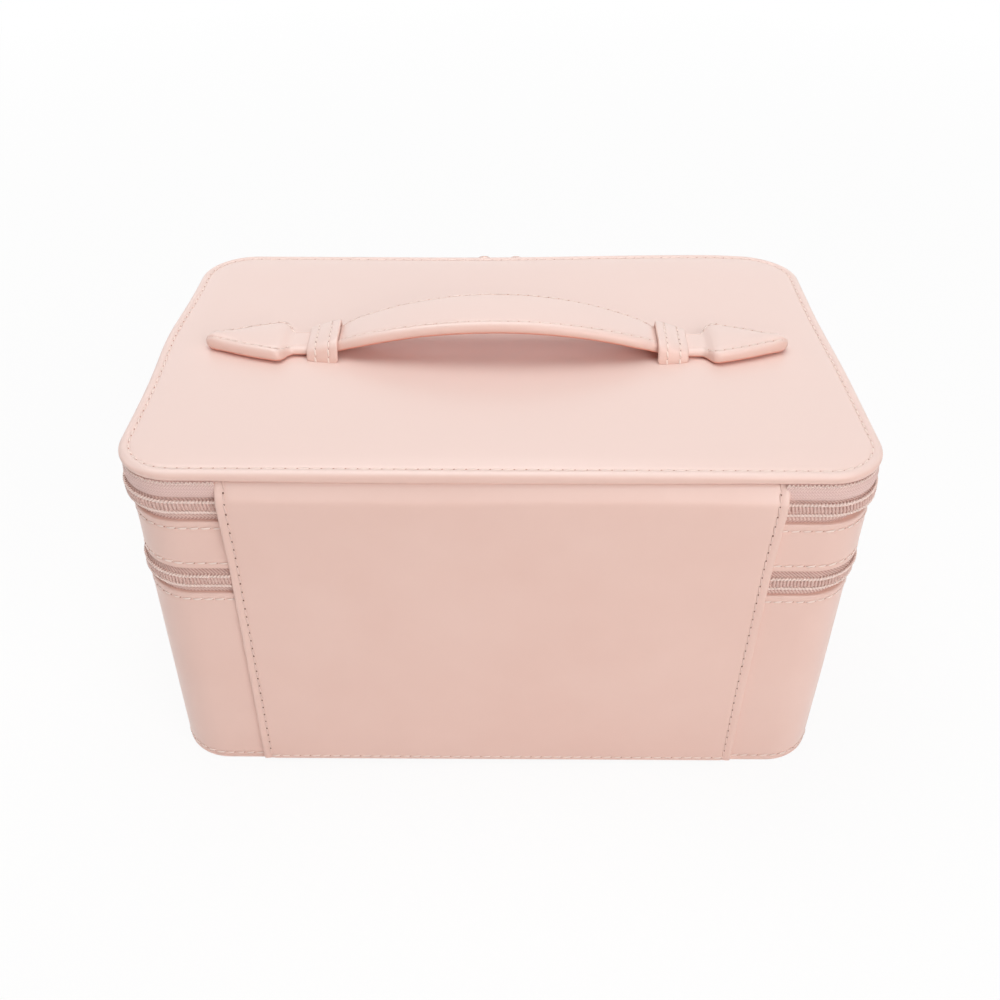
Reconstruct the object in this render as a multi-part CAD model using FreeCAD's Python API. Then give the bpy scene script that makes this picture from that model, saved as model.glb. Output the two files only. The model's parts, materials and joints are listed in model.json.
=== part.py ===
import FreeCAD, Part
import math
import os
from FreeCAD import Vector

# A two-level leather train case: a deep base, a shallow tray level and a padded lid.
# Millimetres, +Z up, the floor at z = 0, the leather spine at -Y and the zipper pulls at +Y.

# Outside of the case
case_width = 254.0          # across the lid rim
case_depth = 166.0          # across the lid rim
corner_radius = 21.0        # upright corners of the lid rim
base_height = 87.0          # floor to the turned top edge of the base leather
lower_zip_window = 11.0     # zipper that shows between base and tray
tray_height = 21.4          # leather band of the tray
upper_zip_window = 8.9      # zipper that shows between tray and lid
band_height = 7.2           # woven band under the lid rim
rim_height = 4.5            # rolled rim of the lid
rim_overhang = 1.5          # rim past the walls
rim_top_round = 1.9
rim_bottom_round = 1.2

# Layers of the walls, from outside to inside
skin_thickness = 1.8        # side leather with its backing
tape_thickness = 0.6        # zipper tape, sewn behind the leather
board_thickness = 2.4
lining_thickness = 0.8
lining_lip = 0.6            # lining turned over the edge of a board
bottom_leather = 1.6
bottom_round = 0.6

# Layers of the lid, from top to underside
lid_leather = 1.6
lid_padding = 1.4
lid_wall_board = 2.0
rim_cord_radius = 0.9

# Zippers
chain_width = 3.8           # both halves of the coil
chain_thickness = 2.2       # coil, out from the face of the tape
chain_parting = 0.8         # between the two halves
tape_tuck = 8.0             # tape behind the leather
lid_tape_tuck = 6.0         # tape behind the woven band
tray_tape_show = 2.9        # bare tape between the lower chain and the tray leather
lid_tape_show = 1.2         # bare tape between the upper chain and the woven band
tape_end_tuck = 8.0         # tape that runs on behind the spine panel

# Zipper sliders and pulls
slider_length = 11.0
slider_cover = 0.9          # plate past the edge of the chain
slider_plate = 1.0
slider_web = 0.4            # thin wall between the two halves of the chain
slider_round = 1.6
slider_clearance = 0.3
slider_spacing = 14.0       # between the centres of a pair
bridge_height = 2.6         # bar axis above the outer plate
bridge_bar_radius = 0.8
bridge_span = 5.6           # free bar between the legs
pull_length = 15.6          # bar axis to the tip
pull_width = 7.0
pull_thickness = 1.4
pull_eye_radius = 2.0
pull_eye_clearance = 0.35
pull_eye_length = 2.6
pull_neck_length = 3.4      # bar axis to the start of the wide tab
pull_lean = 8.0             # degrees that the upper pulls lean in over the lid rim

# Spine panel
spine_width = 184.0
spine_thickness = 1.5
spine_parting = 0.8         # between the panel's parts, at each fold
spine_side_gap = 0.4        # between the panel's edge and the end of a chain
rim_seam = 0.1              # between the panel's top edge and the rim

# Mirror in the lid
mirror_width = 200.0
mirror_depth = 110.0
mirror_radius = 10.0
mirror_thickness = 2.5
mirror_cover = 4.0          # frame over the edge of the glass
mirror_border = 8.0         # frame outside the glass
mirror_frame_lip = 1.2      # frame below the face of the glass

# Handle
handle_y = -1.5
strap_width = 26.6          # in the middle of the grip
strap_end_width = 18.0      # at the keepers
strap_thickness = 4.6
strap_skin = 1.4
strap_clearance = 0.5       # strap above the lid
arch_rise = 12.3            # underside of the grip above the underside of the necks
arch_foot = 1.7             # the same at the keepers, where the strap still slopes
ramp_length = 15.2          # strap that flexes between grip and keeper
edge_round = 1.6
neck_width = 15.0
neck_exposed = 6.0          # neck between keeper and arrow shoulder
arrow_width = 26.0
arrow_thickness = 5.2
shoulder_length = 4.0       # from the neck out to the widest place
arrow_tip_inset = 16.5      # lid edge to the tip
arrow_tip_radius = 3.0
arrow_bow = 10.0            # degrees that the long sides turn in, at the tip
keeper_inset = 61.0         # lid edge to the middle of the keeper
keeper_length = 11.0
keeper_thickness = 2.2
keeper_side_gap = 1.5
keeper_top_gap = 0.5
keeper_stop_gap = 0.3       # between the keeper and the wide part of the strap
keeper_round = 2.0
keeper_tail = 8.0           # tail under the lid leather
rivet_radius = 1.2
rivet_head_radius = 2.3
rivet_head = 0.5

# Outline of the walls and the heights of the levels
wall_width = case_width - 2 * rim_overhang
wall_depth = case_depth - 2 * rim_overhang
wall_radius = corner_radius - rim_overhang
wall_back = -wall_depth / 2
wall_front = wall_depth / 2
tray_bottom = base_height + lower_zip_window
tray_top = tray_bottom + tray_height
band_bottom = tray_top + upper_zip_window
rim_bottom = band_bottom + band_height
lid_top = rim_bottom + rim_height
lower_chain_z = tray_bottom - tray_tape_show - chain_width / 2
upper_chain_z = band_bottom - lid_tape_show - chain_width / 2
lid_padding_top = lid_top - lid_leather
lid_board_top = lid_padding_top - lid_padding
lid_board_bottom = lid_board_top - board_thickness
lid_lining_bottom = lid_board_bottom - lining_thickness

# Insets from the outer face of the walls
tape_face = skin_thickness - tape_thickness
board_inner = skin_thickness + board_thickness
lid_board_inner = skin_thickness + lid_wall_board
chain_face = tape_face - chain_thickness

# Places that several pieces share
keeper_x = case_width / 2 - keeper_inset
arrow_tip_x = case_width / 2 - arrow_tip_inset
strap_span = keeper_x - keeper_length / 2 - keeper_stop_gap
grip_half_length = strap_span - ramp_length
slider_outer_y = wall_front - chain_face + slider_clearance
slider_inner_y = wall_front - skin_thickness - slider_clearance
bridge_y = slider_outer_y + slider_plate + bridge_height
tolerance = 1e-4            # two heights closer than this are the same height


def rounded_outline(width, depth, radius, z):
    """Closed wire of a rounded rectangle about the Z axis."""
    half_w = width / 2
    half_d = depth / 2
    edges = []
    corners = [(1, 1, 0), (-1, 1, 90), (-1, -1, 180), (1, -1, 270)]
    ends = []
    for sx, sy, start in corners:
        centre = Vector(sx * (half_w - radius), sy * (half_d - radius), z)
        points = [polar(centre, radius, start + turn) for turn in (0, 45, 90)]
        ends.append((points[0], points[2]))
        edges.append(Part.Arc(*points).toShape())
    for here, there in zip(ends, ends[1:] + ends[:1]):
        edges.append(Part.LineSegment(here[1], there[0]).toShape())
    return Part.Wire(Part.__sortEdges__(edges))


def polar(centre, radius, degrees):
    """Point at an angle about a centre, in the centre's own level."""
    angle = math.radians(degrees)
    return centre + Vector(radius * math.cos(angle), radius * math.sin(angle), 0)


def plate(width, depth, radius, z_low, z_high):
    """Flat plate with rounded corners."""
    face = Part.Face(rounded_outline(width, depth, radius, z_low))
    return face.extrude(Vector(0, 0, z_high - z_low))


def layer(inset, z_low, z_high):
    """Plate on the outline of the walls, moved in by an inset."""
    return plate(wall_width - 2 * inset, wall_depth - 2 * inset, wall_radius - inset, z_low, z_high)


def wall(outer_inset, inner_inset, z_low, z_high):
    """Upright wall all the way round the case."""
    return layer(outer_inset, z_low, z_high).cut(layer(inner_inset, z_low, z_high))


def block(x_low, x_high, y_low, y_high, z_low, z_high):
    """Plain box between six planes."""
    size = (x_high - x_low, y_high - y_low, z_high - z_low)
    return Part.makeBox(*size, Vector(x_low, y_low, z_low))


def prism(points, direction):
    """Solid from a closed run of points and (start, middle, end) arcs."""
    edges = []
    last = None
    for item in points:
        first = item[0] if isinstance(item, tuple) else item
        if last is not None and last.distanceToPoint(first) > tolerance:
            edges.append(Part.LineSegment(last, first).toShape())
        if isinstance(item, tuple):
            edges.append(Part.Arc(*item).toShape())
        last = item[-1] if isinstance(item, tuple) else item
    start = points[0][0] if isinstance(points[0], tuple) else points[0]
    edges.append(Part.LineSegment(last, start).toShape())
    return Part.Face(Part.Wire(edges)).extrude(direction)


def open_at_spine(shape, half_gap):
    """Take away the stretch of a wall that the spine panel covers."""
    box = shape.BoundBox
    gap = block(-half_gap, half_gap, box.YMin - 1, wall_back + wall_radius, box.ZMin - 1, box.ZMax + 1)
    return shape.cut(gap)


def level_edges(shape, z):
    """Edges that lie wholly at one height."""
    flat = [edge for edge in shape.Edges if edge.BoundBox.ZLength < tolerance]
    return [edge for edge in flat if abs(edge.BoundBox.ZMin - z) < tolerance]


def save(node, shape):
    """Write one piece to its own file."""
    solids = shape.Solids
    piece = solids[0] if len(solids) == 1 else Part.makeCompound(solids)
    piece.exportStep("parts/" + node + ".step")


def zip_tape(chain_z, side, hidden_edge):
    """Half of a zipper tape, from the parting out to the edge hidden behind the leather."""
    edges = sorted([chain_z + side * chain_parting / 2, hidden_edge])
    ring = wall(tape_face, skin_thickness, *edges)
    return open_at_spine(ring, spine_width / 2 - tape_end_tuck)


def zip_coil(chain_z, side):
    """Half of a zipper coil, on the outer face of its tape."""
    edges = sorted([chain_z + side * chain_parting / 2, chain_z + side * chain_width / 2])
    ring = wall(chain_face, tape_face, *edges)
    return open_at_spine(ring, spine_width / 2 + spine_side_gap)


def spine_part(z_low, z_high):
    """One part of the leather spine panel, flat on the outside of the back wall."""
    return block(-spine_width / 2, spine_width / 2, wall_back - spine_thickness, wall_back, z_low, z_high)


def lining_tub(z_floor, z_rim, inset):
    """Lining with a floor, walls and a lip turned over the edge of the wall board."""
    floor = layer(inset, z_floor, z_floor + lining_thickness)
    sides = wall(inset, inset + lining_thickness, z_floor, z_rim)
    lip = wall(skin_thickness, inset + lining_thickness, z_rim - lining_lip, z_rim)
    return floor.fuse([sides, lip]).removeSplitter()


def make_base():
    """Deep lower level, which stands on the floor."""
    tape = zip_tape(lower_chain_z, -1, base_height - tape_tuck)
    board_top = base_height - lining_lip
    floor_top = bottom_leather + board_thickness
    bottom = layer(0, 0, bottom_leather)
    rounded = min(bottom_round, 0.4 * bottom_leather)
    save("base_bottom_leather", bottom.makeFillet(rounded, level_edges(bottom, 0)))
    save("base_side_leather", wall(0, skin_thickness, bottom_leather, base_height).cut(tape))
    save("base_wall_board", wall(skin_thickness, board_inner, bottom_leather, board_top))
    save("base_floor_board", layer(board_inner, bottom_leather, floor_top))
    save("base_lining", lining_tub(floor_top, base_height, board_inner))
    save("lower_zip_base_tape", tape)
    save("lower_zip_base_coil", zip_coil(lower_chain_z, -1))
    save("spine_base_panel", spine_part(bottom_leather, lower_chain_z - spine_parting / 2))


def make_tray():
    """Shallow middle level with a floor of its own."""
    low_tape = zip_tape(lower_chain_z, 1, tray_bottom + tape_tuck)
    high_tape = zip_tape(upper_chain_z, -1, tray_top - tape_tuck)
    board_low = tray_bottom + lining_lip
    floor_top = board_low + board_thickness
    band = wall(0, skin_thickness, tray_bottom, tray_top)
    save("tray_band_leather", band.cut([low_tape, high_tape]))
    save("tray_wall_board", wall(skin_thickness, board_inner, board_low, tray_top - lining_lip))
    save("tray_floor_board", layer(board_inner, board_low, floor_top))
    save("tray_lining", lining_tub(floor_top, tray_top, board_inner))
    save("tray_underside_lining", layer(skin_thickness, tray_bottom, board_low))
    save("lower_zip_tray_tape", low_tape)
    save("lower_zip_tray_coil", zip_coil(lower_chain_z, 1))
    save("upper_zip_tray_tape", high_tape)
    save("upper_zip_tray_coil", zip_coil(upper_chain_z, -1))
    panel = spine_part(lower_chain_z + spine_parting / 2, upper_chain_z - spine_parting / 2)
    save("spine_tray_panel", panel)


def lid_top_skin():
    """Top leather of the lid, rolled down at its edge into a thick rim."""
    blank = layer(-rim_overhang, rim_bottom, lid_top)
    top_round = min(rim_top_round, 0.45 * rim_height)
    low_round = min(rim_bottom_round, 0.45 * rim_height)
    rolled = blank.makeFillet(top_round, level_edges(blank, lid_top))
    rolled = rolled.makeFillet(low_round, level_edges(rolled, rim_bottom))
    return rolled.cut(layer(skin_thickness, rim_bottom, lid_padding_top))


def rim_cord():
    """Round cord inside the rolled rim."""
    inset = (skin_thickness - rim_overhang) / 2
    z = rim_bottom + rim_height / 2
    path = rounded_outline(wall_width - 2 * inset, wall_depth - 2 * inset, wall_radius - inset, z)
    start = path.OrderedVertexes[0].Point
    along = path.OrderedEdges[0].tangentAt(path.OrderedEdges[0].FirstParameter)
    section = Part.Wire(Part.makeCircle(rim_cord_radius, start, along))
    return path.makePipeShell([section], True, False)


def keeper(side):
    """Leather loop over the strap; its two tails turn outward under the lid leather."""
    inner = neck_width / 2 + keeper_side_gap
    outer = inner + keeper_thickness
    underside = lid_top + strap_clearance + strap_thickness + keeper_top_gap
    top = underside + keeper_thickness
    x_low = side * keeper_x - keeper_length / 2
    x_high = side * keeper_x + keeper_length / 2
    arch = block(x_low, x_high, handle_y - outer, handle_y + outer, lid_board_top, top)
    edges = [edge for edge in level_edges(arch, top) if edge.BoundBox.XLength > keeper_length / 2]
    arch = arch.makeFillet(min(keeper_round, 0.9 * keeper_thickness), edges)
    loop = arch.cut(block(x_low, x_high, handle_y - inner, handle_y + inner, lid_board_top, underside))
    tails = []
    for way in (-1, 1):
        y_ends = sorted([handle_y + way * inner, handle_y + way * (outer + keeper_tail)])
        tails.append(block(x_low, x_high, *y_ends, lid_board_top, lid_padding_top))
    return loop.fuse(tails).removeSplitter()


def keeper_rivets():
    """One rivet through each keeper tail and the lid board."""
    reach = neck_width / 2 + keeper_side_gap + keeper_thickness + keeper_tail / 2
    rivets = []
    for side in (-1, 1):
        for way in (-1, 1):
            x = side * keeper_x
            y = handle_y + way * reach
            head_low = lid_padding_top - rivet_head
            head = Part.makeCylinder(rivet_head_radius, rivet_head, Vector(x, y, head_low))
            shank_length = head_low - lid_board_bottom
            shank = Part.makeCylinder(rivet_radius, shank_length, Vector(x, y, lid_board_bottom))
            clench = Part.makeCylinder(rivet_head_radius, lining_thickness, Vector(x, y, lid_lining_bottom))
            rivets.append(head.fuse([shank, clench]).removeSplitter())
    return Part.makeCompound(rivets)


def make_lid():
    """Padded lid with its keepers and its mirror."""
    tape = zip_tape(upper_chain_z, 1, band_bottom + lid_tape_tuck)
    rivets = keeper_rivets()
    keepers = [keeper(-1), keeper(1)]
    cord = rim_cord()
    wall_low = band_bottom + lining_lip
    save("lid_top_leather", lid_top_skin().cut(keepers + [cord]))
    save("lid_rim_cord", cord)
    save("lid_padding", layer(skin_thickness, lid_board_top, lid_padding_top).cut(keepers + [rivets]))
    save("lid_board", layer(skin_thickness, lid_board_bottom, lid_board_top).cut(rivets))
    save("lid_wall_board", wall(skin_thickness, lid_board_inner, wall_low, lid_board_bottom))
    save("lid_band", wall(0, skin_thickness, band_bottom, rim_bottom).cut(tape))
    ceiling = layer(lid_board_inner, lid_lining_bottom, lid_board_bottom)
    sides = wall(lid_board_inner, lid_board_inner + lining_thickness, wall_low, lid_board_bottom)
    lip = wall(skin_thickness, lid_board_inner + lining_thickness, band_bottom, wall_low)
    save("lid_lining", ceiling.fuse([sides, lip]).removeSplitter().cut(rivets))
    save("upper_zip_lid_tape", tape)
    save("upper_zip_lid_coil", zip_coil(upper_chain_z, 1))
    save("spine_lid_panel", spine_part(upper_chain_z + spine_parting / 2, rim_bottom - rim_seam))
    save("keeper_left", keepers[0].cut(rivets))
    save("keeper_right", keepers[1].cut(rivets))
    save("keeper_rivets", rivets)


def make_mirror():
    """Glass on the lid lining, held by a frame that laps over its edge."""
    glass_low = lid_lining_bottom - mirror_thickness
    frame_low = glass_low - mirror_frame_lip
    glass = plate(mirror_width, mirror_depth, mirror_radius, glass_low, lid_lining_bottom)
    border = 2 * mirror_border
    cover = 2 * mirror_cover
    frame = plate(mirror_width + border, mirror_depth + border, mirror_radius + mirror_border,
                  frame_low, lid_lining_bottom)
    window = plate(mirror_width - cover, mirror_depth - cover, mirror_radius - mirror_cover,
                   frame_low, lid_lining_bottom)
    save("mirror", glass)
    save("mirror_frame", frame.cut([window, glass]))


def strap_stretch(x_low, x_high, skin):
    """Stretch of the bent strap between two places along it, with its skin left off."""
    sagitta = arch_rise - arch_foot
    radius = (strap_span ** 2 + sagitta ** 2) / (2 * sagitta)
    centre_z = lid_top + strap_clearance + arch_rise - radius
    reach = math.asin((strap_span + strap_thickness) / radius)
    arcs = []
    for r in (radius + skin, radius + strap_thickness - skin):
        arcs.append([strap_point(centre_z, r, angle) for angle in (-reach, 0, reach)])
    low, high = arcs
    bent = prism([tuple(low), tuple(reversed(high))], Vector(0, strap_width, 0))
    top = lid_top + strap_clearance + arch_rise + 2 * strap_thickness
    half = strap_width / 2
    window = block(x_low, x_high, handle_y - half, handle_y + half, lid_top - rim_height, top)
    return bent.common(strap_outline(skin).common(window))


def strap_point(centre_z, radius, angle):
    """Point on the near edge of the bent strap."""
    return Vector(radius * math.sin(angle), handle_y - strap_width / 2, centre_z + radius * math.cos(angle))


def strap_outline(skin):
    """Upright block with the outline of the strap, which is widest in the middle."""
    z = lid_top - rim_height
    arcs = []
    for way in (-1, 1):
        middle = Vector(0, handle_y + way * (strap_width / 2 - skin), z)
        end_y = handle_y + way * (strap_end_width / 2 - skin)
        arcs.append((Vector(-strap_span, end_y, z), middle, Vector(strap_span, end_y, z)))
    near, far = arcs
    height = rim_height + strap_clearance + arch_rise + 2 * strap_thickness
    return prism([near, tuple(reversed(far))], Vector(0, 0, height))


def arrow_end(side):
    """Arrow-shaped end of the strap with its narrow neck, lying on the lid."""
    z = lid_top + strap_clearance
    shoulder_x = keeper_x + keeper_length / 2 + neck_exposed
    wide_x = shoulder_x + shoulder_length
    half = arrow_width / 2
    tip_centre = Vector(arrow_tip_x - arrow_tip_radius, 0, z)
    reach = math.hypot(wide_x - tip_centre.x, half)
    straight = math.atan2(half, wide_x - tip_centre.x) - math.acos(arrow_tip_radius / reach)
    turn = straight - math.radians(arrow_bow)
    tip = tuple(polar(tip_centre, arrow_tip_radius, way * math.degrees(turn)) for way in (-1, 0, 1))
    sides = []
    for way, tip_end in ((-1, tip[0]), (1, tip[2])):
        corner = Vector(wide_x, way * half, z)
        chord = tip_end - corner
        bend = math.pi / 2 - turn - math.atan2(abs(chord.y), chord.x)
        bulge = Vector(-chord.y, chord.x, 0) * (way * math.tan(bend / 2) / 2)
        sides.append((corner, (corner + tip_end) / 2 + bulge, tip_end))
    outline = [Vector(shoulder_x, -neck_width / 2, z), sides[0], tip, tuple(reversed(sides[1])),
               Vector(shoulder_x, neck_width / 2, z)]
    head = prism(outline, Vector(0, 0, arrow_thickness))
    rim = [edge for edge in level_edges(head, z + arrow_thickness) if edge.BoundBox.XLength > 0.1]
    head = head.makeFillet(min(edge_round, 0.45 * arrow_thickness), rim)
    neck = block(strap_span, shoulder_x, -neck_width / 2, neck_width / 2, z, z + strap_thickness)
    end = head.fuse(neck).removeSplitter()
    end.translate(Vector(0, handle_y, 0))
    return end if side > 0 else mirrored(end)


def mirrored(shape):
    """The same piece on the other side of the case."""
    return shape.mirror(Vector(0, 0, 0), Vector(1, 0, 0))


def soften(strap):
    """Round the four long edges of a stretch of strap."""
    long_edges = [edge for edge in strap.Edges if edge.BoundBox.XLength > strap_thickness]
    return strap.makeFillet(min(edge_round, 0.45 * strap_thickness), long_edges)


def make_handle():
    """Strap in five pieces: the grip, the two stretches that flex and the two ends."""
    grip = soften(strap_stretch(-grip_half_length, grip_half_length, 0))
    padding = strap_stretch(-grip_half_length, grip_half_length, strap_skin)
    ramp = soften(strap_stretch(grip_half_length, strap_span, 0))
    save("handle_grip_leather", grip.cut(padding))
    save("handle_grip_padding", padding)
    save("handle_ramp_right", ramp)
    save("handle_ramp_left", mirrored(ramp))
    save("handle_end_right", arrow_end(1))
    save("handle_end_left", arrow_end(-1))


def rod(radius, half_length, y):
    """Round rod along X."""
    return Part.makeCylinder(radius, 2 * half_length, Vector(-half_length, y, 0), Vector(1, 0, 0))


def slider(x, chain_z):
    """Zipper slider: two plates, a thin wall between the chain halves and a bridge for the pull."""
    half = chain_width / 2 + slider_cover
    end = slider_length / 2
    plates = []
    for y_low in (slider_inner_y - slider_plate, slider_outer_y):
        blank = block(-end, end, y_low, y_low + slider_plate, -half, half)
        corners = [edge for edge in blank.Edges if edge.BoundBox.YLength > slider_plate / 2]
        plates.append(blank.makeFillet(min(slider_round, 0.45 * half), corners))
    web_end = end - slider_round
    web = block(-web_end, web_end, slider_inner_y, slider_outer_y, -slider_web / 2, slider_web / 2)
    leg_size = 2 * bridge_bar_radius
    legs = []
    for side in (-1, 1):
        x_ends = sorted([side * bridge_span / 2, side * (bridge_span / 2 + leg_size)])
        legs.append(block(*x_ends, slider_outer_y, bridge_y, -bridge_bar_radius, bridge_bar_radius))
    bar_half = bridge_span / 2 + leg_size
    bar = rod(bridge_bar_radius, bar_half, bridge_y)
    body = plates[0].fuse([plates[1], web, bar] + legs).removeSplitter()
    body.translate(Vector(x, 0, chain_z))
    return body


def pull(x, chain_z, degrees):
    """Pull tab with a round eye on the bridge bar, turned from upright by an angle."""
    eye_half = pull_eye_length / 2
    eye = rod(pull_eye_radius, eye_half, 0)
    bore = rod(bridge_bar_radius + pull_eye_clearance, eye_half, 0)
    low = -pull_thickness / 2
    half = pull_width / 2
    tip_z = pull_length - half
    neck = block(-eye_half, eye_half, low, -low, 0, pull_neck_length)
    tip = (Vector(half, low, tip_z), Vector(0, low, pull_length), Vector(-half, low, tip_z))
    outline = [Vector(-half, low, pull_neck_length), Vector(half, low, pull_neck_length), tip]
    tab = prism(outline, Vector(0, pull_thickness, 0))
    body = eye.fuse([neck, tab]).cut(bore).removeSplitter()
    body.rotate(Vector(0, 0, 0), Vector(1, 0, 0), degrees)
    body.translate(Vector(x, bridge_y, chain_z))
    return body


def make_sliders():
    """A pair of sliders with pulls on each zipper, head to head in the middle of the front."""
    for level, chain_z, degrees in (("upper", upper_chain_z, pull_lean), ("lower", lower_chain_z, 180)):
        for name, side in (("left", -1), ("right", 1)):
            x = side * slider_spacing / 2
            save(level + "_slider_" + name, slider(x, chain_z))
            save(level + "_pull_" + name, pull(x, chain_z, degrees))


os.makedirs("parts", exist_ok=True)
make_base()
make_tray()
make_lid()
make_mirror()
make_handle()
make_sliders()
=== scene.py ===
# %% [markdown]
# # A blush leather train case
# The case has a deep base, a shallow tray level and a padded lid with a strap handle.
# The CAD model gives every piece its place and size. This script dresses it: leather over
# boards, stitches, woven zipper tape, nylon coils and plated sliders, all in the same frame.
# Lengths are in millimetres until a mesh is made, because that is how a case maker thinks.

# %% Load the frame
import json
import math

import bmesh
import bpy
import numpy as np
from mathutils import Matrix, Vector, noise

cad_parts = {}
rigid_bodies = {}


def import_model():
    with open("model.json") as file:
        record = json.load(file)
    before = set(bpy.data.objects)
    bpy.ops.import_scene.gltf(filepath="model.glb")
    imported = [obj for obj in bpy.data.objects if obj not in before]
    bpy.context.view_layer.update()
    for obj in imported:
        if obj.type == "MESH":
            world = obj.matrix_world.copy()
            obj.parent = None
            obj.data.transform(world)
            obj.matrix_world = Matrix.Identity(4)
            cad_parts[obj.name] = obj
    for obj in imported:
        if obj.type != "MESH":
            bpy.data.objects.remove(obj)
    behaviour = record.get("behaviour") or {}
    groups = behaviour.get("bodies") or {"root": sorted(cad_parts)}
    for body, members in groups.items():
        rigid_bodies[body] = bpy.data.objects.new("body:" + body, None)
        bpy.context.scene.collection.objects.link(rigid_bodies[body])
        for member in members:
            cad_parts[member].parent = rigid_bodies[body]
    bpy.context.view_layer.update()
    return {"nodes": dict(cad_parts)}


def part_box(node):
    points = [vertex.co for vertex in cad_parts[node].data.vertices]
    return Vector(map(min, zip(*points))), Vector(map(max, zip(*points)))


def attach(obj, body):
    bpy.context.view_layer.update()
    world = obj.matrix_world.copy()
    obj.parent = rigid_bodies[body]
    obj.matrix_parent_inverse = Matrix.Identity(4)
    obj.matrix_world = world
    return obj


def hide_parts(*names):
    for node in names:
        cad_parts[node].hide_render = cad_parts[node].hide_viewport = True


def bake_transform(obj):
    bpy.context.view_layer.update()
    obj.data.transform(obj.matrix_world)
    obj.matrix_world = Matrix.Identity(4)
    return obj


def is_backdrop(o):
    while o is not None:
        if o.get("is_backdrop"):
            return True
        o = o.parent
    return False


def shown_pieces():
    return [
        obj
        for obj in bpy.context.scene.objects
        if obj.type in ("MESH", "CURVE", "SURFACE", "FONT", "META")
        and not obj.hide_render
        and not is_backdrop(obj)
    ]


MM = 0.001
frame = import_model()

# %% [markdown]
# ## Camera
# The camera stands behind the case, about 37 degrees above the floor, and looks at the
# leather spine. Its place was worked out from the corners of the lid and the base, so the
# script only repeats the numbers. A lens of 39.4 mm on a 36 mm sensor gives the same
# perspective: the base looks clearly narrower than the lid.

# %% Place the camera
def new_object(name, data):
    """An object in the scene from the data of a camera, a lamp or a mesh."""
    obj = bpy.data.objects.new(name, data)
    bpy.context.collection.objects.link(obj)
    return obj


def aim(obj, place, target):
    """Put a camera or a lamp at a place and turn it to a target, both in metres."""
    obj.location = place
    obj.rotation_euler = (Vector(target) - Vector(place)).to_track_quat("-Z", "Y").to_euler()


camera = new_object("camera", bpy.data.cameras.new("camera"))
camera.data.lens = 39.43
camera.data.sensor_width = 36.0
camera.data.clip_start = 0.01
eye = Vector((1.376, -368.15, 343.07)) * MM
case_middle = Vector((0.536, 0.0, 67.31)) * MM
camera_roll = 0.0038
aim(camera, eye, case_middle)
camera.rotation_euler.rotate_axis("Z", camera_roll)
bpy.context.scene.camera = camera
print("camera is", round((case_middle - eye).length / MM), "mm from the middle of the case")

# %% [markdown]
# ## Colours and nodes
# Colours are written as the hex values that a colour picker shows. Blender works in linear
# light, so one function converts them. One more function adds a shader or geometry node,
# sets its options and fills its inputs, so each finish reads as a short list.

# %% Colour and node helpers
def tint(hex_colour):
    """Linear RGBA of a hex colour."""
    parts = [int(hex_colour[k:k + 2], 16) / 255 for k in (1, 3, 5)]
    linear = [c / 12.92 if c <= 0.04045 else ((c + 0.055) / 1.055) ** 2.4 for c in parts]
    return (*linear, 1.0)


def wire(node, inputs):
    """Fill inputs with plain values, links from sockets, or links from a node's first live output."""
    for key, value in inputs.items():
        if isinstance(value, bpy.types.Node):
            value = next(socket for socket in value.outputs if socket.enabled)
        if isinstance(value, bpy.types.NodeSocket):
            node.id_data.links.new(value, node.inputs[key])
        else:
            node.inputs[key].default_value = value
    return node


def add(tree, kind, inputs=None, **options):
    """Add a node with its options and fill its inputs."""
    node = tree.nodes.new(kind)
    for key, value in options.items():
        setattr(node, key, value)
    return wire(node, inputs or {})


def per_mm(size):
    """Texture scale at which one feature is this many millimetres across."""
    return 1 / (size * MM)


def new_finish(name):
    """A material, its node tree, its main shader and the place on the object."""
    material = bpy.data.materials.new(name)
    material.use_nodes = True
    tree = material.node_tree
    place = add(tree, "ShaderNodeTexCoord").outputs["Object"]
    return material, tree, tree.nodes["Principled BSDF"], place


print("blush leather in linear light:", [round(c, 3) for c in tint("#EAC6BA")[:3]])

# %% [markdown]
# ## Studio
# The case stands on a white sweep under soft light. The floor is a real surface, so it keeps
# the soft contact shadow and throws light back up. For the camera, and in reflections, most
# of it is a plain white, which gives the white background without more light on the case.

# %% Floor and world
white_from, white_to = 0.3, 1.2


def white_for_camera(tree, place, lit, share):
    """Mix a surface with plain white as the camera and reflections see it, all white further off."""
    path = add(tree, "ShaderNodeLightPath").outputs
    seen = path["Is Camera Ray"]
    for ray in ("Is Glossy Ray", "Is Transmission Ray"):
        seen = add(tree, "ShaderNodeMath", {0: seen, 1: path[ray]}, operation="MAXIMUM")
    away = add(tree, "ShaderNodeVectorMath", {0: place}, operation="LENGTH")
    share = add(tree, "ShaderNodeMapRange", {"Value": away, 1: white_from, 2: white_to, 3: share, 4: 1.0})
    amount = add(tree, "ShaderNodeMath", {0: seen, 1: share}, operation="MULTIPLY")
    white = add(tree, "ShaderNodeEmission", {"Color": (1, 1, 1, 1), "Strength": 1.0})
    return add(tree, "ShaderNodeMixShader", {0: amount, 1: lit, 2: white})


floor_finish, tree, shader, place = new_finish("white_sweep")
wire(shader, {"Base Color": tint("#F4F3F2"), "Roughness": 0.9, "Specular IOR Level": 0.0})
wire(tree.nodes["Material Output"], {"Surface": white_for_camera(tree, place, shader, 0.9)})

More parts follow.
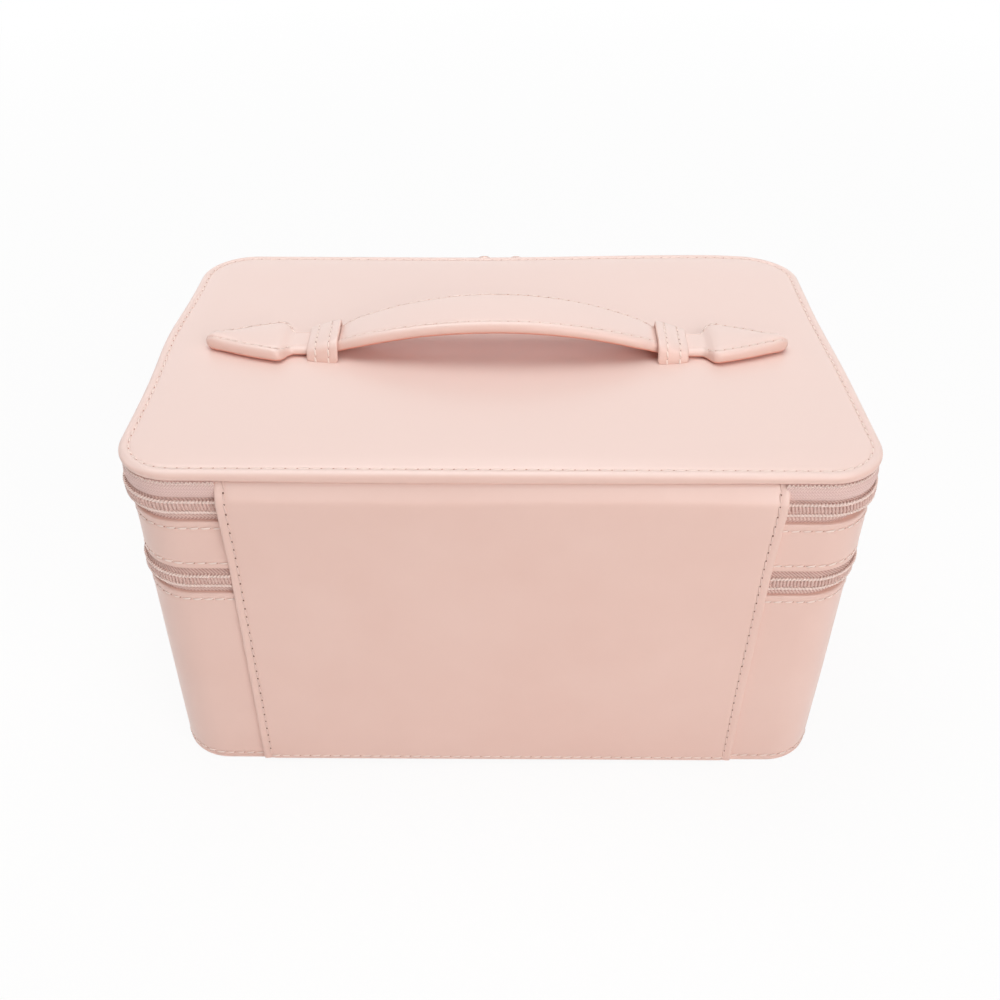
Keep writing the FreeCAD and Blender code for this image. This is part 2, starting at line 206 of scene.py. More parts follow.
floor_mesh = bpy.data.meshes.new("floor")
reach = 6.0
floor_corners = [(x * reach, y * reach, 0) for x, y in ((-1, -1), (1, -1), (1, 1), (-1, 1))]
floor_mesh.from_pydata(floor_corners, [], [(0, 1, 2, 3)])
floor_mesh.materials.append(floor_finish)
new_object("floor", floor_mesh)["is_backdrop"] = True

world = bpy.data.worlds.new("studio")
bpy.context.scene.world = world
world.use_nodes = True
tree = world.node_tree
room = wire(tree.nodes["Background"], {"Color": (1.0, 0.985, 0.97, 1), "Strength": 0.02})
place = add(tree, "ShaderNodeTexCoord").outputs["Object"]
wire(tree.nodes["World Output"], {"Surface": white_for_camera(tree, place, room, 1.0)})
bpy.context.scene.view_settings.view_transform = "Standard"
print("floor reaches", reach, "m each way")

# %% Soft lamps
lamp_target = (0, 0, 0.08)
for name, place, wide, high, power in (("overhead", (-0.1, 0.15, 1.5), 1.4, 1.4, 17.0),
                                       ("behind", (0.0, 1.6, 0.95), 2.6, 1.5, 5.0),
                                       ("front_right", (0.75, -1.0, 0.75), 1.0, 1.0, 9.4),
                                       ("front", (0.0, -1.7, 0.4), 1.4, 1.4, 7.2),
                                       ("left", (-1.6, -0.1, 0.4), 1.2, 1.2, 6.0)):
    lamp = new_object(name, bpy.data.lights.new(name, "AREA"))
    lamp.data.shape = "RECTANGLE"
    lamp.data.size = wide
    lamp.data.size_y = high
    lamp.data.energy = power
    aim(lamp, place, lamp_target)
    print("lamp", name, "gives", power, "W")

# %% [markdown]
# ## Blush leather
# The skin of the case is smooth pigmented leather with a satin finish. It could be one pink
# colour, but then it looks like plastic. Real leather has a fine pebble grain, a little
# unevenness in tone from the hide and in gloss from the finish. On top of that, light and
# shade are painted into the colour. Painted shade darkens the sewn grooves. A painted sheen
# makes the leather paler where it faces up, on the lid, the strap, the keepers and the top of
# the spine. Painted shade makes the down-facing side of the strap redder, drawn as a redder
# leather there. Each of these comes from an attribute on the mesh.

# %% Leather finish
def leather(name, colour, deep, pale, backing):
    """Satin leather: fine grain, clouds of tone, painted shade in sewn grooves and on the strap's underside,
    a painted sheen where it faces up.
    """
    material, tree, shader, place = new_finish(name)
    cloud = add(tree, "ShaderNodeTexNoise", {"Vector": place, "Scale": per_mm(34), "Detail": 3.0})
    cloud = add(tree, "ShaderNodeMapRange", {"Value": cloud, 1: 0.3, 2: 0.7, 3: 0.0, 4: 0.16})
    # Painted light and shade: the mark of up-facing faces pales the colour as a painted sheen, the mark of
    # sewn grooves darkens it as painted shade, and the mark of down-facing strap faces makes it redder as
    # painted shade.
    stretch, groove, underside_shade = [add(tree, "ShaderNodeAttribute", attribute_name=label).outputs["Fac"]
                               for label in ("stretch", "groove", "backing")]
    sunk = add(tree, "ShaderNodeMath", {0: groove, 1: 0.15}, operation="MULTIPLY")
    tone = tint(colour)
    for share, other in ((cloud, deep), (stretch, pale), (sunk, deep), (underside_shade, backing)):
        tone = add(tree, "ShaderNodeMix", {0: share, 6: tone, 7: tint(other)}, data_type="RGBA")
    pebble = add(tree, "ShaderNodeTexVoronoi", {"Vector": place, "Scale": per_mm(0.55)}, feature="SMOOTH_F1")
    pore = add(tree, "ShaderNodeTexNoise", {"Vector": place, "Scale": per_mm(0.25), "Detail": 2.0})
    grain = add(tree, "ShaderNodeMath", {0: pore, 1: 0.6, 2: pebble}, operation="MULTIPLY_ADD")
    bump = add(tree, "ShaderNodeBump", {"Strength": 0.16, "Distance": 0.06 * MM, "Height": grain})
    gloss = add(tree, "ShaderNodeTexNoise", {"Vector": place, "Scale": per_mm(9), "Detail": 2.0})
    satin = add(tree, "ShaderNodeMapRange", {"Value": gloss, 1: 0.3, 2: 0.7, 3: 0.28, 4: 0.34})
    wire(shader, {"Base Color": tone, "Normal": bump, "Roughness": satin})
    return material


# D9AA9B is the deeper tone of the clouds and the painted shade of the grooves, #ECD1C8 the painted sheen,
# #E0876C the painted red shade under the strap.
blush = leather("blush_satin_leather", "#EAC6BA", "#D9AA9B", "#ECD1C8", "#E0876C")
print("finish:", blush.name)

# %% [markdown]
# ## Walls as a path
# Most of the case follows one line: a rectangle with round corners. A maker would cut a
# strip and wrap it round the board, and the script does the same. It walks round the wall,
# keeps the outward direction at each step, and carries a cross-section along. Corners stay
# smooth, and an open path can stop at the edge of the spine.

# %% Path round the walls
def corners_mm(node):
    """Lowest and highest corner of a CAD node in millimetres."""
    low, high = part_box(node)
    return np.array(low) / MM, np.array(high) / MM


base_low, base_high = corners_mm("base_side_leather")
tray_low, tray_high = corners_mm("tray_band_leather")
lid_low, lid_high = corners_mm("lid_top_leather")
half_w, half_d = base_high[0], base_high[1]
wall_radius = 19.5
corner_steps = 17


def rect_path(half_x, half_y, radius, half_gap=0.0, step=6.0):
    """Points round a rounded rectangle and their outward directions, anticlockwise from the back."""
    places = [np.array([half_gap, -half_y])]
    outs = [np.array([0.0, -1.0])]
    for side_x, side_y, start in ((1, -1, -90), (1, 1, 0), (-1, 1, 90), (-1, -1, 180)):
        centre = np.array([side_x * (half_x - radius), side_y * (half_y - radius)])
        for angle in np.radians(np.linspace(start, start + 90, corner_steps)):
            out = np.array([math.cos(angle), math.sin(angle)])
            places.append(centre + radius * out)
            outs.append(out)
    places.append(np.array([-half_gap, -half_y]))
    outs.append(np.array([0.0, -1.0]))
    fine_places, fine_outs = [], []
    for k in range(len(places) - 1):
        count = max(1, int(np.linalg.norm(places[k + 1] - places[k]) / step))
        for share in np.arange(count) / count:
            fine_places.append(places[k] + share * (places[k + 1] - places[k]))
            fine_outs.append(outs[k] + share * (outs[k + 1] - outs[k]))
    if half_gap > 0:
        fine_places.append(places[-1])
        fine_outs.append(outs[-1])
    return np.array(fine_places), np.array(fine_outs)


def wall_path(half_gap=0.0):
    """Path round the outer face of the walls; a gap leaves out the stretch behind the spine."""
    return rect_path(half_w, half_d, wall_radius, half_gap)


def wall_inset(x, y):
    """How far inside the outer face of the walls a place lies."""
    dx = abs(x) - (half_w - wall_radius)
    dy = abs(y) - (half_d - wall_radius)
    corner = np.hypot(np.maximum(dx, 0.0), np.maximum(dy, 0.0))
    return wall_radius - corner - np.minimum(np.maximum(dx, dy), 0.0)


spine_half = corners_mm("spine_base_panel")[1][0]
print("steps round the wall:", len(wall_path()[0]), "and beside the spine:", len(wall_path(spine_half)[0]))

# %% Skin a run of rings
def piece(name, points, faces, material, uvs):
    """An object from points in millimetres, smooth, with its faces turned outwards."""
    mesh = bpy.data.meshes.new(name)
    mesh.from_pydata((np.asarray(points, float) * MM).tolist(), [], faces)
    mesh.uv_layers.new(name="UVMap").data.foreach_set("uv", (np.asarray(uvs, float) * MM).ravel())
    mesh.materials.append(material)
    shape = bmesh.new()
    shape.from_mesh(mesh)
    bmesh.ops.remove_doubles(shape, verts=shape.verts, dist=1e-7)
    bmesh.ops.recalc_face_normals(shape, faces=shape.faces)
    for face in shape.faces:
        face.smooth = True
        if len(face.verts) > 4:
            for edge in face.edges:
                edge.smooth = False
    shape.to_mesh(mesh)
    shape.free()
    return new_object(name, mesh)


def loft(name, rings, material, loop=False):
    """Skin over closed rings of points; a loop joins last to first, or else both ends are capped."""
    rings = np.asarray(rings, float)
    n, m = rings.shape[:2]
    steps = np.linalg.norm(np.roll(rings, -1, 0).mean(1) - rings.mean(1), axis=1)
    u = np.concatenate([[0], np.cumsum(steps)])
    sides = np.linalg.norm(np.roll(rings[n // 2], -1, 0) - rings[n // 2], axis=1)
    v = np.concatenate([[0], np.cumsum(sides)])
    faces, uvs = [], []
    for i in range(n if loop else n - 1):
        k = (i + 1) % n
        for j in range(m):
            w = (j + 1) % m
            faces.append((i * m + j, i * m + w, k * m + w, k * m + j))
            uvs += [(u[i], v[j]), (u[i], v[j + 1]), (u[i + 1], v[j + 1]), (u[i + 1], v[j])]
    for end in () if loop else (0, n - 1):
        faces.append([end * m + j for j in range(m)])
        uvs += [(u[end], v[j]) for j in range(m)]
    obj = piece(name, rings.reshape(-1, 3), faces, material, uvs)
    for cap in () if loop else (-1, -2):
        obj.data.polygons[cap].use_smooth = False
    return obj


print("a loft joins rings of points into one skin")

# %% Sections
def rounded(corners, steps=4):
    """Closed run of 2-D points; each (a, b, r) corner is rounded from r before it to r after it."""
    points = []
    for k, (a, b, r) in enumerate(corners):
        here = np.array([a, b], float)
        if r == 0:
            points.append(here)
            continue
        ends = []
        for other in (corners[k - 1], corners[(k + 1) % len(corners)]):
            way = np.array(other[:2], float) - here
            length = np.linalg.norm(way)
            ends.append(here + way / length * min(r, 0.49 * length))
        for t in np.linspace(0, 1, steps + 1):
            points.append((1 - t) ** 2 * ends[0] + 2 * t * (1 - t) * here + t ** 2 * ends[1])
    return np.array(points)


def divided(points, step):
    """The same closed run with extra points on its long sides."""
    fine = []
    for here, there in zip(points, np.roll(points, -1, 0)):
        count = max(1, int(np.linalg.norm(there - here) / step))
        fine += [here + (there - here) * k / count for k in range(count)]
    return np.array(fine)


def wrapped(path, section):
    """A ring of (inset, height) points at each step of a path."""
    return [np.column_stack([place - np.outer(section[:, 0], out), section[:, 1]])
            for place, out in zip(*path)]


def along_wall(name, section, material, half_gap=0.0):
    """Carry a closed section along the wall."""
    return loft(name, wrapped(wall_path(half_gap), section), material, loop=half_gap == 0)


print("a square with round corners has", len(rounded([(0, 0, 1), (9, 0, 1), (9, 9, 1), (0, 9, 1)])), "points")

# %% Marks and hand work on a skin
def ease(value, low, high):
    """Smooth step from 0 to 1, for one value or many."""
    t = np.minimum(np.maximum((value - low) / (high - low), 0.0), 1.0)
    return t * t * (3 - 2 * t)


def near(value, middles, width):
    """1 on any of the middles, falling to 0 within a width."""
    return max(max(0.0, 1 - ((value - m) / width) ** 2) for m in middles)


def mark(obj, name, values):
    """Keep a number from 0 to 1 at each point, for the leather finish."""
    obj.data.attributes.new(name, "FLOAT", "POINT").data.foreach_set("value", values)


def set_groove_shade(obj, depth_at):
    """Mark how far each point lies in a sewn groove, for the painted shade there."""
    mark(obj, "groove", [depth_at(*(v.co / MM)) for v in obj.data.vertices])


def facing(obj, way, low, high):
    """How far each point faces up, for a way of 1, or down, for -1."""
    ups = np.zeros(len(obj.data.vertices))
    count = np.zeros(len(ups))
    for polygon in obj.data.polygons:
        if polygon.use_smooth:
            ups[list(polygon.vertices)] += way * polygon.normal.z
            count[list(polygon.vertices)] += 1
    return ease(ups / np.maximum(count, 1), low, high)


def set_painted_sheen(obj):
    """Mark where the leather faces up, for a painted sheen that makes it paler."""
    mark(obj, "stretch", facing(obj, 1, 0.3, 0.95))


def uneven(obj, amount, size):
    """Let the skin lie a little uneven, as leather over board does."""
    mesh = obj.data
    moves = [v.normal * (amount * MM * noise.noise(v.co / (size * MM))) for v in mesh.vertices]
    for vertex, move in zip(mesh.vertices, moves):
        vertex.co += move
    mesh.update()


def stand_for(obj, body, slot, *nodes):
    """Let a piece ride on a body and stand for CAD nodes; the slot is not used."""
    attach(obj, body)
    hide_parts(*nodes)
    print(obj.name, "has", len(obj.data.polygons), "faces")


print("marks on the leather: groove, stretch and backing")

# %% [markdown]
# ## Base and tray leather
# The base and the tray are wrapped in strips of leather whose edges are turned over and sewn
# down about 3 mm from the fold. That gives three things to see: a soft round edge, a slight
# swelling over the fold and a shallow groove under the stitches. They are all in the
# cross-section, so the wrap itself stays simple.

# %% Wrap the base and the tray
sole_top, base_top = base_low[2], base_high[2]
stitch_base_top = base_top - 2.7
stitch_base_low = 3.1
base_section = rounded([
    (1.8, sole_top + 0.05, 0.2), (0.0, sole_top + 0.05, 0.45), (-0.08, stitch_base_low - 0.75, 0.3),
    (0.16, stitch_base_low, 0.35), (0.0, stitch_base_low + 1.0, 0.5), (0.0, base_top - 5.5, 1.0),
    (-0.1, base_top - 4.2, 0.6), (0.18, stitch_base_top, 0.55), (-0.2, base_top - 1.5, 0.7),
    (0.05, base_top, 0.75), (1.8, base_top, 0.4)])
tray_bottom, tray_top = tray_low[2], tray_high[2]
stitch_tray_top = tray_top - 3.5
tray_fold = tray_top - 0.7
stitch_tray_low = tray_bottom + 2.7
tray_section = rounded([
    (1.8, tray_bottom, 0.4), (0.05, tray_bottom, 0.75), (-0.2, tray_bottom + 1.4, 0.7),
    (0.18, stitch_tray_low, 0.55), (-0.08, tray_bottom + 4.2, 0.6), (0.0, tray_bottom + 6.0, 1.0),
    (0.0, tray_top - 6.4, 1.0), (-0.08, tray_top - 5.0, 0.6), (0.18, stitch_tray_top, 0.55),
    (-0.2, tray_fold - 1.2, 0.7), (0.05, tray_fold, 0.8), (1.8, tray_fold, 0.4)])
for body, node, section, step, rows, ripple in (
        ("base", "base_side_leather", base_section, 8.0, (stitch_base_top, stitch_base_low), (0.12, 42)),
        ("tray", "tray_band_leather", tray_section, 5.0, (stitch_tray_top, stitch_tray_low), (0.08, 30))):
    skin = along_wall(f"{body}_skin", divided(section, step), blush)
    # Painted shade darkens the leather along both rows of stitches.
    set_groove_shade(skin, lambda x, y, z: near(z, rows, 0.7))
    uneven(skin, *ripple)
    stand_for(skin, body, "leather", node)

# %% [markdown]
# ## Sole
# Under the case lies one flat piece of leather with a softly pared edge. It is drawn as rings
# that shrink from the edge to the middle, which closes it without a seam.

# %% Sole of the base
def at_height(path, inset, height, share=1.0):
    """A path moved inwards, shrunk to a share of its size and laid at a height."""
    places, outs = path
    flat = (places - inset * outs) * share
    return np.column_stack([flat, np.full(len(flat), height)])


def disc(name, edge, low_fill, high_fill, material):
    """A plate whose edge is a run of (inset, height); its two faces run in to the middle."""
    path = wall_path()
    rings = [at_height(path, edge[0][0], height, share) for share, height in reversed(low_fill)]
    rings += [at_height(path, inset, height) for inset, height in edge]
    rings += [at_height(path, edge[-1][0], height, share) for share, height in high_fill]
    return loft(name, rings, material)


pared_edge = [(2.0, 0.0), (0.75, 0.0), (0.3, 0.12), (0.06, 0.4), (0.0, 0.8), (0.05, 1.25),
              (0.3, sole_top), (2.0, sole_top)]
sole = disc("base_sole", pared_edge, [(0.6, 0.0), (0.1, 0.0)], [(0.1, sole_top)], blush)
set_groove_shade(sole, lambda x, y, z: 0.0)
stand_for(sole, "base", "leather", "base_bottom_leather")
print("sole is", round(sole.dimensions.x / MM, 1), "by", round(sole.dimensions.y / MM, 1), "mm")

# %% [markdown]
# ## Padded lid
# The lid is a board with thin felt on it and one skin of leather pulled over, rolled round a
# cord at the rim and sewn down 3.5 mm from the edge. Between the stitches and the middle the
# felt lifts the leather a little. A cloth simulation would give the same low crown, since the
# felt is only 1.4 mm thick, so the crown is drawn in the rings. Along the back the roll hangs
# a little lower in the middle, over the spine.

# %% Lid skin
rim_low, lid_top = lid_low[2], lid_high[2]
rim_out = half_w - lid_high[0]
stitch_from_rim = 3.5
lid_stitch = rim_out + stitch_from_rim
roll = 2.0
roll_turns = np.radians(np.linspace(-90, 100, 18))
roll_section = np.column_stack([rim_out + roll - roll * np.cos(roll_turns),
                                rim_low + roll + roll * np.sin(roll_turns)])
field_section = rounded([
    (lid_stitch - 0.6, lid_top - 0.66, 0.0), (lid_stitch, lid_top - 0.98, 0.5),
    (lid_stitch + 1.3, lid_top - 0.62, 0.7), (lid_stitch + 5.5, lid_top - 0.1, 2.0),
    (lid_stitch + 13.0, lid_top + 0.18, 0.0)], 5)
skin_end = lid_top - 2.6
sag_depth, sag_middle, sag_half = 0.75, -8, 88
rim = np.vstack([[(1.8, skin_end), (1.8, rim_low + 0.05)], roll_section, field_section])
crown = [(share, lid_top + 0.32 - 0.1 * share ** 2) for share in np.linspace(0.92, 0.04, 14)]
lid_skin = disc("lid_skin", rim, [(0.1, skin_end)], crown, blush)


def lid_groove_shade(x, y, z):
    """Where the sewn groove on top of the lid lies, for its painted shade."""
    return near(wall_inset(x, y) - rim_out, (stitch_from_rim,), 0.8) if z > lid_top - 1.3 else 0.0


set_groove_shade(lid_skin, lid_groove_shade)
for vertex in lid_skin.data.vertices:
    x, y, z = vertex.co / MM
    if y < -half_d + 4.0:
        sag = sag_depth * max(1 - ((x - sag_middle) / sag_half) ** 2, 0.0)
        vertex.co.z -= sag * MM * ease(lid_top - 1.0 - z, 0.0, 3.5)
uneven(lid_skin, 0.07, 38)
# Painted sheen: the lid is paler where it faces up.
set_painted_sheen(lid_skin)
stand_for(lid_skin, "lid", "leather", "lid_top_leather", "lid_padding")

# %% [markdown]
# ## Woven band and zipper tapes
# Between the rim and the upper zipper runs a woven binding, and behind each leather edge a
# zipper tape in a herringbone weave. Both are strips that follow the wall, so their weave is
# drawn on the strip itself: along it and across it, in millimetres, from the UV map. The
# real threads are under half a millimetre and would not show in the picture, so the ribs of
# the tape are drawn 1.25 mm apart.

# %% Woven finishes
def waves(tree, distance, length):
    """A sine from 0 to 1 that repeats every so many millimetres."""
    turned = add(tree, "ShaderNodeMath", {0: distance, 1: 2 * math.pi / length}, operation="MULTIPLY")
    sine = add(tree, "ShaderNodeMath", {0: turned}, operation="SINE")
    return add(tree, "ShaderNodeMath", {0: sine, 1: 0.5, 2: 0.5}, operation="MULTIPLY_ADD")


def woven(name, thread, shadow, column, rib, rough, depth):
    """Herringbone cloth: slanted ribs that turn back at every column of threads."""
    material, tree, shader, place = new_finish(name)
    strip = add(tree, "ShaderNodeTexCoord").outputs["UV"]
    strip = add(tree, "ShaderNodeVectorMath", {0: strip, 1: (1 / MM, 1 / MM, 0)}, operation="MULTIPLY")
    along, across = add(tree, "ShaderNodeSeparateXYZ", {0: strip}).outputs[:2]
    fold = add(tree, "ShaderNodeMath", {0: across, 1: column}, operation="PINGPONG")
    slant = add(tree, "ShaderNodeMath", {0: fold, 1: along}, operation="ADD")
    ribs, cross = waves(tree, slant, rib), waves(tree, across, column)
    weave = add(tree, "ShaderNodeMath", {0: cross, 1: 0.35, 2: ribs}, operation="MULTIPLY_ADD")
    fuzz = add(tree, "ShaderNodeTexNoise", {"Vector": place, "Scale": per_mm(0.3), "Detail": 2.0})
    height = add(tree, "ShaderNodeMath", {0: fuzz, 1: 0.5, 2: weave}, operation="MULTIPLY_ADD")
    share = add(tree, "ShaderNodeMapRange", {"Value": height, 1: 0.2, 2: 1.5, 3: 0.0, 4: 1.0})
    tone = add(tree, "ShaderNodeMix", {0: share, 6: tint(shadow), 7: tint(thread)}, data_type="RGBA")
    bump = add(tree, "ShaderNodeBump", {"Strength": 0.6, "Distance": depth * MM, "Height": height})
    wire(shader, {"Base Color": tone, "Normal": bump, "Roughness": rough, "Specular IOR Level": 0.25,
                  "Sheen Weight": 0.15})
    return material


tape_cloth = woven("herringbone_zip_tape", "#E9CBC1", "#BF9187", 2.2, 1.25, 0.8, 0.2)
band_cloth = woven("woven_rim_binding", "#ECCDC6", "#D6B0A8", 1.3, 0.95, 0.75, 0.12)
print("woven finishes:", tape_cloth.name, band_cloth.name)

# %% Band and tapes round the wall
band_bottom = corners_mm("lid_band")[0][2]
band_section = rounded([
    (1.75, band_bottom + 0.05, 0.3), (0.35, band_bottom + 0.05, 0.35), (-0.55, band_bottom + 1.3, 0.9),
    (-1.2, band_bottom + 4.0, 1.6), (-0.6, rim_low - 0.2, 0.8), (1.0, rim_low + 0.3, 0.3),
    (1.75, rim_low + 0.3, 0.2)])
rim_band = along_wall("rim_band", divided(band_section, 3.0), band_cloth, spine_half - 0.2)
stand_for(rim_band, "lid", "band", "lid_band")
tape_end = spine_half - 7.0


def tape_section(low, high, coil_below):
    """Section of a tape: flat behind the leather, thick at its free edge, where the coil has a core cord."""
    free, sewn_edge, way = (low, high, 1) if coil_below else (high, low, -1)
    run = [(1.8, free, 0.0), (-0.4, free, 0.1), (-0.4, free + way * 1.6, 0.5), (0.7, free + way * 2.5, 0.5),
           (0.85, free + way * 3.4, 0.8), (1.3, free + way * 5.5, 1.0), (1.3, sewn_edge, 0.1),
           (1.8, sewn_edge, 0.0)]
    return run[::way]


for level, body, coil_below in (("lower", "base", False), ("lower", "tray", True),
                                ("upper", "tray", False), ("upper", "lid", True)):
    node = f"{level}_zip_{body}_tape"
    low, high = corners_mm(node)
    section = divided(rounded(tape_section(low[2], high[2], coil_below), 3), 3.0)
    tape = along_wall(f"{level}_tape_{body}", section, tape_cloth, tape_end)
    stand_for(tape, body, "tape", node)

# %% [markdown]
# ## Shapes that repeat along a path
# Stitches, needle holes and the loops of a zipper coil are the same shape set down again and
# again at an even pitch. Geometry Nodes do that well: one tree takes a path, a small shape
# and named sizes, turns each copy to the path and to the surface, and makes it real. The
# path is a mesh of edges whose points keep the outward direction in an attribute.

# %% Tree for repeated shapes
def repeat_tree():
    """Copies of a shape at even steps along a path, turned to the path and to the surface."""
    tree = bpy.data.node_groups.new("repeat_along_path", "GeometryNodeTree")
    kinds = {"Path": "Geometry", "Shape": "Object", "Seed": "Int", "Finish": "Material"}
    for name in ("Path", "Shape", "Pitch", "Length", "Width", "Height", "Lean", "Shift", "Unevenness",
                 "Seed", "Finish"):
        kind = "NodeSocket" + kinds.get(name, "Float")
        tree.interface.new_socket(name, in_out="INPUT", socket_type=kind)
    tree.interface.new_socket("Row", in_out="OUTPUT", socket_type="NodeSocketGeometry")
    given = add(tree, "NodeGroupInput").outputs
    curve = add(tree, "GeometryNodeMeshToCurve", {"Mesh": given["Path"]})
    steps = add(tree, "GeometryNodeResampleCurve", {"Curve": curve, "Length": given["Pitch"]}, mode="LENGTH")
    along = add(tree, "GeometryNodeInputTangent")
    out = add(tree, "GeometryNodeInputNamedAttribute", {"Name": "out"}, data_type="FLOAT_VECTOR")
    turn = add(tree, "FunctionNodeAlignRotationToVector", {"Vector": along}, axis="X")
    turn = add(tree, "FunctionNodeAlignRotationToVector", {"Rotation": turn, "Vector": out},
               axis="Z", pivot_axis="X")
    lean = add(tree, "ShaderNodeCombineXYZ", {"Z": given["Lean"]})
    lean = add(tree, "FunctionNodeEulerToRotation", {0: lean})
    turn = add(tree, "FunctionNodeRotateRotation", {0: turn, 1: lean}, rotation_space="LOCAL")
    size = add(tree, "ShaderNodeCombineXYZ", {0: given["Length"], 1: given["Width"], 2: given["Height"]})
    least = add(tree, "ShaderNodeMath", {0: 1.0, 1: given["Unevenness"]}, operation="SUBTRACT")
    most = add(tree, "ShaderNodeMath", {0: 1.0, 1: given["Unevenness"]}, operation="ADD")
    chance = add(tree, "FunctionNodeRandomValue", {2: least, 3: most, "Seed": given["Seed"]},
                 data_type="FLOAT")
    size = add(tree, "ShaderNodeVectorMath", {0: size, "Scale": chance}, operation="SCALE")
    shape = add(tree, "GeometryNodeObjectInfo", {"Object": given["Shape"]}).outputs["Geometry"]
    row = add(tree, "GeometryNodeInstanceOnPoints",
              {"Points": steps, "Instance": shape, "Rotation": turn, "Scale": size})
    shift = add(tree, "ShaderNodeCombineXYZ", {"X": given["Shift"]})
    row = add(tree, "GeometryNodeTranslateInstances",
              {"Instances": row, "Translation": shift, "Local Space": True})
    real = add(tree, "GeometryNodeRealizeInstances", {0: row})
    done = add(tree, "GeometryNodeSetMaterial", {"Geometry": real, "Material": given["Finish"]})
    add(tree, "NodeGroupOutput", {"Row": done})
    return tree


repeat = repeat_tree()
socket_of = {item.name: item.identifier for item in repeat.interface.items_tree if item.in_out == "INPUT"}
print("tree inputs:", list(socket_of))

# %% Bake a row into a plain mesh
def repeated(name, rows, shape, material, pitch, size, lean=0.0, shift=0.0, unevenness=0.0):
    """One mesh of copies along rows; a row is (points, outward directions, closed), in millimetres."""
    points, outs, edges = [], [], []
    for places, directions, closed in rows:
        first = len(points)
        count = len(places)
        points += [tuple(p) for p in np.asarray(places, float) * MM]
        outs += [tuple(d) for d in directions]
        edges += [(first + k, first + k + 1) for k in range(count - 1)]
        if closed:
            edges.append((first + count - 1, first))
    mesh = bpy.data.meshes.new(name + "_path")
    mesh.from_pydata(points, edges, [])
    mesh.attributes.new("out", "FLOAT_VECTOR", "POINT").data.foreach_set("vector", np.ravel(outs))
    obj = new_object(name, mesh)
    modifier = obj.modifiers.new("repeat", "NODES")
    modifier.node_group = repeat
    sizes = {"Shape": shape, "Pitch": pitch * MM, "Length": size[0], "Width": size[1], "Height": size[2],
             "Lean": lean, "Shift": shift * MM, "Unevenness": unevenness, "Seed": 7, "Finish": material}
    for key, value in sizes.items():
        modifier[socket_of[key]] = value
    real = obj.evaluated_get(bpy.context.evaluated_depsgraph_get())
    baked = bpy.data.meshes.new_from_object(real)
    obj.modifiers.clear()
    obj.data = baked
    baked.name = name
    print(name, "has", len(baked.polygons), "faces")
    return obj


def tube(name, path, radii, material, sides, beside):
    """A round bar along points; its path never runs along the direction beside it."""
    path = np.asarray(path, float)
    turns = 2 * math.pi * np.arange(sides) / sides
    rings = []
    for place, way, radius in zip(path, np.gradient(path, axis=0), radii):
        across = np.cross(way, beside)
        across = across / np.linalg.norm(across)
        other = np.cross(way, across) / np.linalg.norm(way)
        rings.append([place + radius * (math.cos(t) * across + math.sin(t) * other) for t in turns])
    return loft(name, rings, material)


def unit_shape(name, path, radii, sides=6, beside=(0.0, 1.0, 0.0)):
    """A small bar about 1 mm long, hidden, to be repeated."""
    obj = tube(name, path, radii, blush, sides, beside)
    obj.hide_render = True
    return obj


dash_path = [(-0.5, 0, -0.55), (-0.4, 0, -0.1), (-0.18, 0, 0.2), (0.18, 0, 0.2), (0.4, 0, -0.1),
             (0.5, 0, -0.55)]
dash = unit_shape("unit_dash", dash_path, [0.25, 0.42, 0.5, 0.5, 0.42, 0.25])
dot = unit_shape("unit_dot", [(-0.5, 0, 0), (-0.3, 0, 0), (0.3, 0, 0), (0.5, 0, 0)], [0.15, 0.45, 0.45, 0.15])

# %% [markdown]
# ## Thread
# The stitches are polyester thread a shade lighter than the leather. Each one dips into its
# needle holes, and each hole is a small dark dot of painted shade. At this size the twist of
# the thread is only a fine slant, and the soft sheen does most of the work.

# %% Thread and needle holes
def two_toned(name, low, high, kind, texture, bump=None, gloss=None, constants=None, **options):
    """A finish between two tones; its pattern may also lift it, by (strength, mm), or change its gloss."""
    material, tree, shader, place = new_finish(name)
    pattern = add(tree, kind, {"Vector": place, **texture}, **options).outputs["Fac"]
    tone = add(tree, "ShaderNodeMix", {0: pattern, 6: tint(low), 7: tint(high)}, data_type="RGBA")
    wire(shader, {"Base Color": tone, **(constants or {})})
    if bump:
        lifted = {"Strength": bump[0], "Distance": bump[1] * MM, "Height": pattern}
        wire(shader, {"Normal": add(tree, "ShaderNodeBump", lifted)})
    if gloss:
        satin = add(tree, "ShaderNodeMapRange", {"Value": pattern, 3: gloss[0], 4: gloss[1]})
        wire(shader, {"Roughness": satin})
    return material


bands_per_scale = 0.63


def thread(name, colour, shade):
    """Twisted polyester: slanted plies half a millimetre long and a soft sheen."""
    plies = {"Scale": per_mm(0.5) * bands_per_scale, "Distortion": 1.0}
    return two_toned(name, shade, colour, "ShaderNodeTexWave", plies, bump=(0.4, 0.05),
                     constants={"Roughness": 0.55, "Sheen Weight": 0.2}, bands_direction="DIAGONAL")


def hole_shade_finish(name, colour, deep):
    """Painted shade of a needle hole: a matt colour darker than the skin round it."""
    return two_toned(name, deep, colour, "ShaderNodeTexNoise", {"Scale": per_mm(0.4)},
                     constants={"Roughness": 0.9, "Specular IOR Level": 0.1})


seam_thread = thread("blush_seam_thread", "#F9E6DD", "#EFD3C8")
sunk_thread = thread("skin_toned_seam_thread", "#F0D2C7", "#E2BBAF")
# Four strengths of painted shade for needle holes, from faint to deep.
faint_hole_shade = hole_shade_finish("faint_needle_dent", "#C99C8D", "#BA8B7C")
pale_hole_shade = hole_shade_finish("pale_needle_dent", "#DDB8AB", "#D0A596")
soft_hole_shade = hole_shade_finish("soft_needle_dent", "#A97C6F", "#94685B")
deep_hole_shade = hole_shade_finish("deep_needle_hole", "#7A5246", "#684338")
print("threads:", seam_thread.name, sunk_thread.name)

